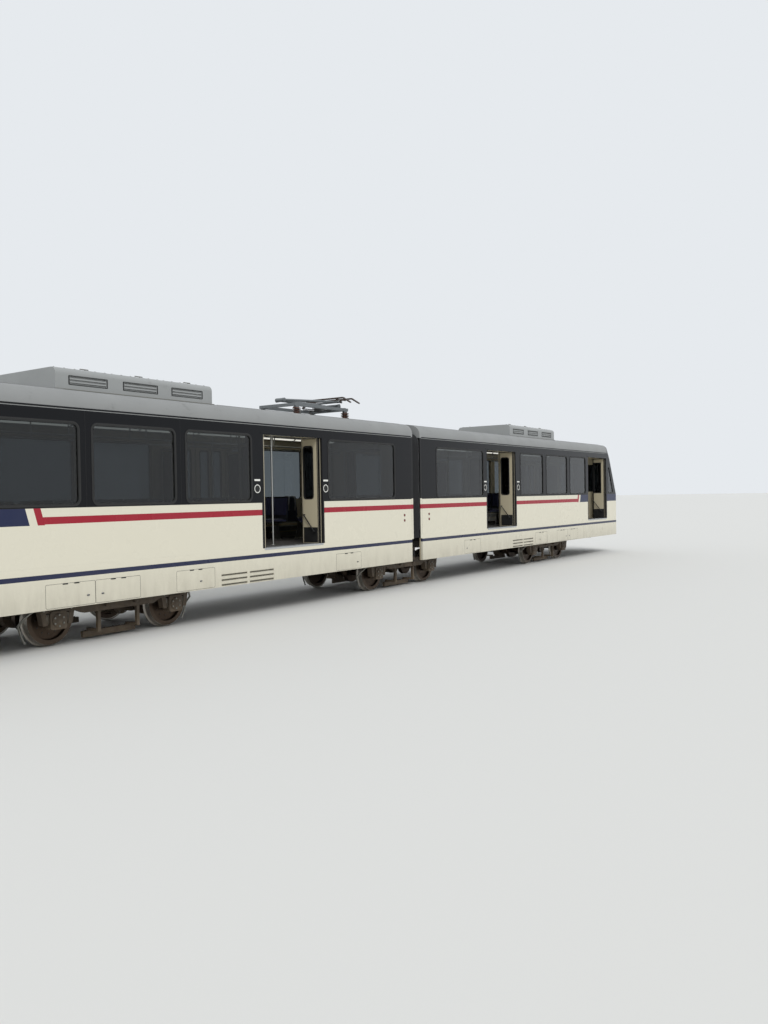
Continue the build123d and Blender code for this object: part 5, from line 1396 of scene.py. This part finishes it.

# Roof: ribs along the crown, lids and guards of the unit, conduits, aerial
top = {
    "crown": 6.817, "ribRows": 15, "ribPitch": 0.150, "ribRuns": ((0.250, 5.560), (8.640, 11.700)),
    "unit": (5.600, 8.600), "unitHalf": 0.820, "unitTop": 3.960, "unitFoot": 3.645,
    "fans": (6.250, 7.100, 7.950), "guardRings": (0.055, 0.105, 0.155, 0.205, 0.255, 0.300),
    "guardReach": 0.306,
    "guardWire": 0.0035, "fanBlades": 7,
    "fanBlade": ((0.088, -0.03), (0.285, -0.055), (0.285, 0.065), (0.088, 0.04)),
    "handle": ((0.30, 0.004), (0.30, 0.032), (0.44, 0.032), (0.44, 0.004)), "handleY": 0.63,
    "lidBoltY": 0.690,
    "louvreX": (6.150, 7.100, 8.050), "louvreZ": (3.740, 3.785, 3.830), "louvre": (0.616, 0.022, 0.002),
    "stud": (11.2, 0.5, 0.016, 0.03), "conduitY": 0.960, "conduit": (
        (8.60, -0.16, 0.012), (8.72, -0.10, 0.005), (8.86, 0.0, 0.0), (11.25, 0.0, 0.0),
        (11.36, -0.05, -0.02), (11.37, -0.06, -0.06),
    ),
    "saddle": ((-0.032, -0.018), (-0.020, 0.010), (0.0, 0.0185), (0.020, 0.010), (0.032, -0.020)),
    "saddles": 6, "saddleStart": 9.0, "saddlePitch": 0.42, "aerialX": 11.0,
    "aerial": ((0.0, 0.0), (0.110, 0.0), (0.112, 0.010), (0.095, 0.038), (0.040, 0.052), (0.0, 0.053)),
}


def crownAt(y):
    return car["roofTop"] - top["crown"] + math.sqrt(top["crown"] ** 2 - y * y)


def addFan(shape, x):
    # rings and bars of the guard, with the twisted blades below them
    level, wire = top["unitTop"], top["guardWire"]
    for radius in top["guardRings"]:
        addTube(shape, [(x + u, v, level - 0.004) for u, v in circle(radius, 36)], wire, sides=6, closed=True)
    for u, v in circle(top["guardReach"], 16)[:8]:
        addTube(shape, [(x - u, -v, level + 0.001), (x + u, v, level + 0.001)], wire, sides=6)
    for u, v in circle(1, top["fanBlades"]):
        ahead, side = Vector((u, v, 0)), Vector((-v, u, 0))
        rows = []
        for lift in (0.0, 0.003):
            heights = (lift - 0.016, lift - 0.016, lift + 0.016, lift + 0.016)
            hub = [Vector((x, 0, level - 0.045 + height)) for height in heights]
            corners = [p + ahead * out + side * across for p, (out, across) in zip(hub, top["fanBlade"])]
            rows.append([shape.verts.new(corner) for corner in corners])
            shape.faces.new(rows[-1])
        for i in range(4):
            j = (i + 1) % 4
            shape.faces.new((rows[0][i], rows[0][j], rows[1][j], rows[1][i]))


across = [k * top["ribPitch"] for k in range(-(top["ribRows"] // 2), top["ribRows"] // 2 + 1)]
# the fans turn the same way on both sections
for end, body, matrix in sections:
    for run, (first, last) in enumerate(top["ribRuns"], 1):
        ribs = [(((first + last) / 2, y, crownAt(y) + 0.003), (0, y / top["crown"], 1)) for y in across]
        rib = (last - first, 0.020, 0.010)
        finishCopies([(f"{end}{run}", body, matrix)], [("roofRibs", ribs, "roofRib", "roof_paint", rib)])
    guards = bmesh.new()
    for x in top["fans"]:
        addFan(guards, (matrix @ Vector((x, 0, 0))).x)
    finishPiece(guards, f"fanGuards_{end}", body, "zincSteel", "roof_paint")
lids, handles, pipes, seams = shapesFor(4)
start, stop = top["unit"]
half, level = top["unitHalf"], top["unitTop"]
third = (stop - start) / len(top["fans"])
starts = [start + k * third + 0.014 for k in range(len(top["fans"]))]
long, deep = third - 0.028, 2 * half - 0.200
lidBolts = []
for a in starts:
    rowX = [a + 0.05 + i * (long - 0.10) / 5 for i in range(6)]
    lidBolts += [((x, top["lidBoltY"], level + 0.006), (0, 0, 1)) for x in rowX]
    grip = [(a + along, top["handleY"], level + lift) for along, lift in top["handle"]]
    addTube(handles, grip, 0.006, sides=6)
blades = [((x, half - 0.012, z), (0, 0.55, 0.83)) for x in top["louvreX"] for z in top["louvreZ"]]
low, high = top["louvreZ"][0] - 0.024, top["louvreZ"][-1] + 0.024
for x in top["louvreX"]:
    inner = roundedOutline(x, (low + high) / 2, 0.632, high - low - 0.020, 0.006)
    rim = roundedOutline(x, (low + high) / 2, 0.672, high - low, 0.012)
    addSlab(seams, rim, "Y", half - 0.001, half + 0.003, inner)
# foot rail of the unit, stud over the cab
foot = top["unitFoot"]
addBox(handles, (start - 0.02, half + 0.001, foot - 0.004), (stop + 0.02, half + 0.035, foot + 0.006))
x, y, radius, height = top["stud"]
addTurned(handles, fromFace(washer(0.0, radius, 0.0, height), crownAt(y)), (x, y, 0), "Z", 12)
addMirror("Y", handles, seams, blades, lidBolts)
for a, fan in zip(starts, top["fans"]):
    middle = a + long / 2
    rim = roundedOutline(middle, 0, long, deep, 0.050, steps=10)
    hole = [(fan + u, v) for u, v in circle(0.312, len(rim), 0.5)]
    addSlab(lids, rim, "Z", level - 0.001, level + 0.005, hole)
    gap = roundedOutline(middle, 0, long + 0.012, deep + 0.012, 0.056)
    addSlab(seams, gap, "Z", level - 0.001, level + 0.002, roundedOutline(middle, 0, long, deep, 0.050))
# conduit with saddles from the unit to the cab, aerial over the cab end
y = top["conduitY"]
z = crownAt(y) + 0.020
addTube(pipes, [(x, y + side, z + lift) for x, side, lift in top["conduit"]], 0.017, sides=10)
for k in range(top["saddles"]):
    x = top["saddleStart"] + top["saddlePitch"] * k
    addTube(handles, [(x, y + side, z + lift) for side, lift in top["saddle"]], 0.0035, sides=6)
addTurned(pipes, fromFace(top["aerial"], crownAt(0)), (top["aerialX"], 0, 0), "Z", 28)
finishCopies(sections, [
    ("unitLids", lids, "roofCover", "roof_paint", {"bevel": 0.0015}),
    ("roofHandles", handles, "zincSteel", "roof_paint", smooth),
    ("roofConduits", pipes, "rubber", "roof_paint", smooth),
    ("unitSeams", seams, "rubber", "roof_paint"),
    ("louvreBlades", blades, "coverSlat", "roof_paint", top["louvre"]),
    ("lidBolts", lidBolts, "zincBolt", "roof_paint", boltM12),
])
print("roof dressed")

# Current collector: porcelain under its base, springs, strip bolts
collector = {
    "feet": (-2.980, -1.420), "footY": 0.450, "shedFoot": 3.700, "shedPitch": 0.034, "sheds": 4,
    "shed": ((0.0503, 0.0), (0.086, -0.004), (0.089, 0.001), (0.084, 0.007), (0.0503, 0.022)),
    "cap": ((0.0503, 3.673), (0.074, 3.673), (0.074, 3.686), (0.058, 3.694), (0.0503, 3.694)),
    "cable": ((-1.70, 0.30, 3.86), (-1.72, 0.20, 3.80), (-1.76, 0.12, 3.72),
              (-1.80, 0.10, crownAt(0.1) + 0.002)),
    "spring": (26.0, 0.024, 0.560, 0.0045), "springFoot": (-1.52, 0.130, 3.882), "baseBoltZ": 3.912,
    "pan": -1.5, "stripFace": 0.1785, "stripBolts": (-0.52, 0.13, 9, 4.114),
}
sheds, straps = shapesFor(2)
y = collector["footY"]
for x in collector["feet"]:
    for k in range(collector["sheds"]):
        foot = collector["shedFoot"] + collector["shedPitch"] * k
        addTurned(sheds, fromFace(collector["shed"], foot), (x, y, 0), "Z", 28)
    addTurned(straps, collector["cap"], (x, y, 0), "Z", 20)
boltX = [x + offset for x in collector["feet"] for offset in (-0.02, 0.02)]
baseBolts = [((x, y, collector["baseBoltZ"]), (0, 0, 1)) for x in boltX]
springs = [(collector["springFoot"], (-1, 0, 0))]
addMirror("Y", sheds, straps, baseBolts, springs)
addTube(straps, collector["cable"], 0.011)
first, pitch, count, z = collector["stripBolts"]
stripBolts = [
    ((collector["pan"] + way * collector["stripFace"], first + pitch * k, z), (way, 0, 0))
    for way in (-1, 1) for k in range(count)
]
finishPiece(sheds, "collectorInsulators", "section_a", "porcelain", "panto_steel", smooth=True)
finishPiece(straps, "collectorFeet", "section_a", "couplerSteel", "panto_steel", smooth=True)
setFittings("collectorSprings", "coilSpring", springs, collector["spring"], "section_a")
setFittings("stripBolts", "zincBolt", stripBolts, boltM6, "panto_pan")
setFittings("baseBolts", "zincBolt", baseBolts, boltM12, "section_a")
print("collector dressed")

# Under the floor: box lids with latches and bolts, reservoir ends, pipes
under = {
    "boxes": ((1.750, 3.050, 0.690), (3.250, 4.450, 0.640), (4.650, 5.950, 0.690), (9.500, 10.500, 0.660),
              (10.700, 11.900, 0.700)),
    "inner": 0.470, "outer": 1.130, "roof": 1.082,
    "latch": ((0.0, 0.006), (0.026, 0.006), (0.026, 0.010), (0.012, 0.016), (0.0, 0.016)),
    "reservoir": (3.300, 4.350), "reservoirY": 0.190, "reservoirZ": 0.850, "reservoirRadius": 0.135,
    "dome": ((0.92, 0.022), (0.70, 0.042), (0.35, 0.054), (0.0, 0.057), (0.0, 0.0)), "strap": (0.32, 0.02),
    "pipeRun": (1.62, 6.00), "pipeY": 0.030, "pipeZ": 1.040, "clips": 8, "clipStart": 1.75, "clipPitch": 0.58,
    "clipLug": (0.012, 0.050, 0.058, 1.024, 1.081), "clipBar": (0.062, 1.050, 1.058),
}
lids, latches, caps, pipes = shapesFor(4)
bolts = []
face, ceiling = under["outer"], under["roof"]
mid, deep = (under["inner"] + face) / 2, face - under["inner"]
for first, last, low in under["boxes"]:
    u, wide = (first + last) / 2, last - first
    addSlab(lids, roundedOutline(u, mid, wide - 0.060, deep - 0.060, 0.030), "Z", low - 0.005, low + 0.001)
    for k in (-1, 1):
        x = u + k * wide / 4
        door = roundedOutline(x, (low + ceiling) / 2, wide / 2 - 0.045, ceiling - low - 0.060, 0.025)
        addSlab(lids, door, "Y", face - 0.001, face + 0.006)
        addTurned(latches, fromFace(under["latch"], face), (x, 0, low + 0.060), "Y", 16)
        for h in (-1, 1):
            hinge = x + h * wide / 8
            addTube(latches, [(hinge + end, face + 0.010, ceiling - 0.036) for end in (-0.035, 0.035)], 0.008)
    reach, side = (wide - 0.11) / 2, (deep - 0.11) / 2
    places = [(u + i * reach, mid + j * side, low - 0.006) for i in (-1, -0.33, 0.33, 1) for j in (-1, 1)]
    bolts += [(place, (0, 0, -1)) for place in places]
start, stop = under["reservoir"]
y, z, r = under["reservoirY"], under["reservoirZ"], under["reservoirRadius"]
dome = [(r - 0.0005, 0.0)] + [(r * share, out) for share, out in under["dome"]]
inset, half = under["strap"]
for x, way in ((start, -1), (stop, 1)):
    addTurned(caps, fromFace(dome, x, way), (0, y, z), "X")
    band = x - way * inset
    addTurned(caps, washer(r - 0.001, r + 0.004, band - half, band + half), (0, y, z), "X")
x = start + 0.08
addTube(pipes, [(x, y, z + r - 0.004), (x, y, z + r + 0.03), (x, 0.06, 1.035)], 0.011)
addTube(pipes, [(x, under["pipeY"], under["pipeZ"]) for x in under["pipeRun"]], 0.013)
clips = [under["clipStart"] + under["clipPitch"] * k for k in range(under["clips"])]
half, near, far, low, high = under["clipLug"]
for x in clips:
    addBox(latches, (x - half, near, low), (x + half, far, high))
addMirror("Y", lids, latches, caps, pipes, bolts)
reach, low, high = under["clipBar"]
for x in clips:
    addBox(latches, (x - half, -reach, low), (x + half, reach, high))
finishCopies(sections, [
    ("boxLids", lids, "boxPaint", "box_paint", {"bevel": 0.0015}),
    ("boxLatches", latches, "zincSteel", "box_paint"),
    ("reservoirEnds", caps, "boxPaint", "box_paint", smooth),
    ("airPipes", pipes, "zincSteel", "box_paint", smooth),
    ("boxBolts", bolts, "zincBolt", "box_paint", boltM12),
])
print("underfloor dressed")

# Bogies: rolling rubber springs, dust tubes, axle covers, motor ends, pipes and bolts
gear = {
    "springY": 0.760, "spring": (
        (0.1655, 0.634), (0.176, 0.636), (0.189, 0.652), (0.193, 0.676), (0.186, 0.700), (0.172, 0.712),
        (0.186, 0.724), (0.193, 0.748), (0.189, 0.774), (0.176, 0.792), (0.1655, 0.796),
    ),
    "damper": (0.260, 1.045), "dust": ((0.0322, 0.545), (0.041, 0.548), (0.041, 0.566), (0.0322, 0.570)),
    "boxFace": 1.025, "cover": ((0.0, 0.0), (0.098, 0.0), (0.098, 0.010), (0.086, 0.014), (0.062, 0.014),
                                (0.050, 0.022), (0.0, 0.024)),
    "chevrons": (0.140, 0.165, 0.190), "chevron": (0.0025, 0.901, 0.9985, 0.346, 0.484),
    "sand": ((1.335, 0.930, 0.560), (1.420, 0.920, 0.520), (1.490, 0.860, 0.440), (1.500, 0.750, 0.340),
             (1.450, 0.750, 0.180), (1.405, 0.750, 0.090)),
    "brakeY": 0.717, "brakeTop": 0.134, "beamFace": 1.0065,
    "motorX": 0.560, "motorZ": 0.400, "motorHalf": 0.310,
    "motor": ((0.0, 0.0), (0.150, 0.0), (0.150, 0.010), (0.120, 0.016), (0.045, 0.016), (0.040, 0.030),
              (0.0, 0.030)),
    "cooling": (-0.255, -0.225, -0.195, -0.02, 0.01, 0.04, 0.245, 0.275), "gearFace": 0.222,
    "leads": (0.10, 0.14, 0.18),
    "lead": ((0.170, 0.10, 0.638), (0.280, 0.06, 0.650), (0.420, 0.0, 0.620), (0.520, 0.0, 0.556)),
    "brakePipe": ((0.150, -0.330, 0.640), (0.300, -0.335, 0.646), (0.560, -0.345, 0.600),
                  (0.740, -0.330, 0.520), (0.800, -0.300, 0.458)),
    "hub": (0.205, 0.771, 12), "discs": ((-0.296, -1), (-0.204, 1)), "disc": (0.105, 10),
    "wheelBolt": (0.010, 0.010, 0.013, 0.003),
}
rubber, covers, plates, pipes, tubes = shapesFor(5)
damper, axle, axleZ = (*gear["damper"], 0), car["halfWheelbase"], car["axleHeight"]
addTurned(tubes, washer(0.0322, 0.0385, 0.660, 0.796), damper, "Z", 24)
addTurned(tubes, gear["dust"], damper, "Z", 24)
face = gear["boxFace"]
addTurned(covers, fromFace(gear["cover"], face), (axle, 0, axleZ), "Y", 36)
bolts = ringSpots("Y", (axle, 0, axleZ), 0.078, face + 0.016, 1, 6)
half, near, far, low, high = gear["chevron"]
for offset in gear["chevrons"]:
    for x in (axle - offset, axle + offset):
        addBox(plates, (x - half, near, low), (x + half, far, high))
addTube(pipes, gear["sand"], 0.016, sides=10)
flats = [((0.08 + 0.11 * k, gear["brakeY"], gear["brakeTop"]), (0, 0, 1)) for k in range(4)]
bolts += [((0.10 + 0.12 * k, gear["beamFace"], 0.565), (0, 1, 0)) for k in range(5)]
bolts += [((axle + offset, gear["beamFace"], 0.540), (0, 1, 0)) for offset in (-0.215, 0.215)]
motor, half = (gear["motorX"], 0, gear["motorZ"]), gear["motorHalf"]
addTurned(covers, fromFace(gear["motor"], half), motor, "Y", 36)
bolts += ringSpots("Y", motor, 0.135, half + 0.014, 1, 8)
addMirror("Y", covers, plates, pipes, tubes, bolts, flats)
# the gear case and its bolts, cooling bands, brake pipe and motor leads are on one side
bolts += ringSpots("Y", (axle, 0, axleZ), 0.170, gear["gearFace"], 1, 12)
for y in gear["cooling"]:
    addTurned(covers, washer(0.164, 0.170, y - 0.004, y + 0.004), motor, "Y", 36)
addTube(pipes, gear["brakePipe"], 0.009)
for side in gear["leads"]:
    addTube(tubes, [(x, y + side, z) for x, y, z in gear["lead"]], 0.012)
addMirror("X", covers, plates, pipes, tubes, bolts, flats)
for y in (-gear["springY"], gear["springY"]):
    addTurned(rubber, gear["spring"], (0, y, 0), "Z", 44)
    addTurned(covers, washer(0.1655, 0.176, 0.706, 0.718), (0, y, 0), "Z", 44)
# bolts of one wheelset, about its own axle
radius, face, count = gear["hub"]
wheelBolts = ringSpots("Y", (0, 0, axleZ), radius, face, 1, count, shift=0)
addMirror("Y", wheelBolts)
radius, count = gear["disc"]
for y, way in gear["discs"]:
    wheelBolts += ringSpots("Y", (0, 0, axleZ), radius, y, way, count, shift=0)
for name, middle in car["bogies"]:
    finishCopies([(name, f"bogie_{name}", Matrix.Translation((middle, 0, 0)))], [
        ("rollingSprings", rubber, "bellowsRubber", "bogie_paint", smooth),
        ("axleCovers", covers, "bogieSteel", "bogie_paint", smooth),
        ("chevronPlates", plates, "zincSteel", "bogie_paint"),
        ("sandPipes", pipes, "zincSteel", "bogie_paint", smooth),
        ("damperTubes", tubes, "rubber", "bogie_paint", smooth),
        ("bogieBolts", bolts, "zincBolt", "bogie_paint", boltM12),
        ("brakeBolts", flats, "darkBolt", "bogie_paint", boltM12),
    ])
    wheels = [
        (f"{name}{index}", f"wheelset_{name}{index}", Matrix.Translation((middle + offset, 0, 0)))
        for index, offset in ((1, -axle), (2, axle))
    ]
    finishCopies(wheels, [("wheelBolts", wheelBolts, "darkBolt", "wheel_steel", gear["wheelBolt"])])
print("bogies dressed")

# Couplers: rubber rings of the draft gear, cover of the contact box, release handle, bolts
hook = {
    "z": 0.560, "half": 0.150, "tall": 0.145, "box": (13.350, 0.120, 0.705, 0.785), "pitch": 0.052,
    "rings": (12.560, 5),
    "ring": ((0.056, -0.019), (0.100, -0.017), (0.107, -0.006), (0.107, 0.006), (0.100, 0.017),
             (0.056, 0.019)),
    "plates": (12.534, 6), "plate": (0.056, 0.112, -0.004, 0.004), "boltX": (13.125, 13.205, 13.335),
    "footX": (13.12, 13.22, 13.32),
    "lever": ((13.240, 0.149, 0.590), (13.240, 0.185, 0.590), (13.225, 0.205, 0.575), (13.200, 0.215, 0.480)),
    "hose": ((13.080, 0.100, 0.500), (13.030, 0.104, 0.498), (12.950, 0.112, 0.470), (12.860, 0.106, 0.462),
             (12.790, 0.080, 0.490), (12.770, 0.054, 0.530)),
    "collar": (0.0145, 0.021, 13.056, 13.081), "collarPlace": (0, 0.1005, 0.500),
}
rings, cover, metal = shapesFor(3)
addTube(rings, hook["hose"], 0.015, sides=10)
addTurned(metal, washer(*hook["collar"]), hook["collarPlace"], "X", 12)
side, middle = hook["half"] + 0.004, hook["z"]
bolts = [((x, side, middle + rise), (0, 1, 0)) for x in hook["boltX"] for rise in (-0.105, 0.105)]
bolts += [((x, 0.10, hook["z"] - hook["tall"] - 0.004), (0, 0, -1)) for x in hook["footX"]]
addMirror("Y", rings, metal, bolts)
for shape, profile, (first, count) in (
    (rings, hook["ring"], hook["rings"]), (metal, washer(*hook["plate"]), hook["plates"]),
):
    for k in range(count):
        addTurned(shape, fromFace(profile, first + hook["pitch"] * k), (0, 0, hook["z"]), "X")
face, half, low, high = hook["box"]
lid = roundedOutline(0, (low + high) / 2, 2 * half - 0.010, high - low - 0.008, 0.010)
addSlab(cover, lid, "X", face - 0.0005, face + 0.008)
addTube(metal, [(face + 0.004, y, high + 0.002) for y in (0.01 - half, half - 0.01)], 0.007, sides=10)
addTube(metal, hook["lever"], 0.009)
finishCopies(couplers, [
    ("draftRubbers", rings, "rubber", "coupler_steel", smooth),
    ("contactCover", cover, "boxPaint", "coupler_steel", eased),
    ("couplerFittings", metal, "zincSteel", "coupler_steel", smooth),
    ("couplerBolts", bolts, "zincBolt", "coupler_steel", boltM12),
])
print("couplers dressed")

# Floor, light and background
studio = {
    "floorColour": "D9D8D4", "floorReach": 400.0, "skyColour": "E6EAEE", "backdrop": 1.0, "skyStrength": 0.9,
    "sunStrength": 1.6, "sunTurn": (48, 0, -38),
}


def buildStudio(s):
    mesh = bpy.data.meshes.new("studioFloor")
    reach = s["floorReach"]
    corners = [(x, y, 0) for x, y in panel(-reach, reach, -reach, reach)]
    mesh.from_pydata(corners, [], [(0, 1, 2, 3)])
    floor = bpy.data.objects.new("studioFloor", mesh)
    bpy.context.scene.collection.objects.link(floor)
    material = bpy.data.materials.new("studioFloorPaint")
    material.use_nodes = True
    surface = material.node_tree.nodes["Principled BSDF"].inputs
    surface["Base Color"].default_value = linear(s["floorColour"])
    surface["Roughness"].default_value = 0.8
    mesh.materials.append(material)
    world = bpy.data.worlds.new("studioSky")
    bpy.context.scene.world = world
    world.use_nodes = True
    tree = world.node_tree
    rays = addNode(tree, "ShaderNodeLightPath", {}).outputs
    either = {"operation": "MAXIMUM", 0: rays["Is Glossy Ray"], 1: rays["Is Transmission Ray"]}
    mirrored = addNode(tree, sums, either)
    seen = addNode(tree, sums, {"operation": "MAXIMUM", 0: rays["Is Camera Ray"], 1: mirrored})
    background = tree.nodes["Background"]
    background.inputs["Color"].default_value = linear(s["skyColour"])
    strength = addNode(tree, spread, {0: seen, 3: s["skyStrength"], 4: s["backdrop"]}).outputs[0]
    tree.links.new(strength, background.inputs["Strength"])
    lamp = bpy.data.lights.new("softSun", "SUN")
    lamp.energy = s["sunStrength"]
    lamp.angle = math.radians(25)
    sun = bpy.data.objects.new("softSun", lamp)
    sun.rotation_euler = [math.radians(a) for a in s["sunTurn"]]
    bpy.context.scene.collection.objects.link(sun)


buildStudio(studio)
bpy.context.scene.view_settings.view_transform = "Standard"
print("studio built")
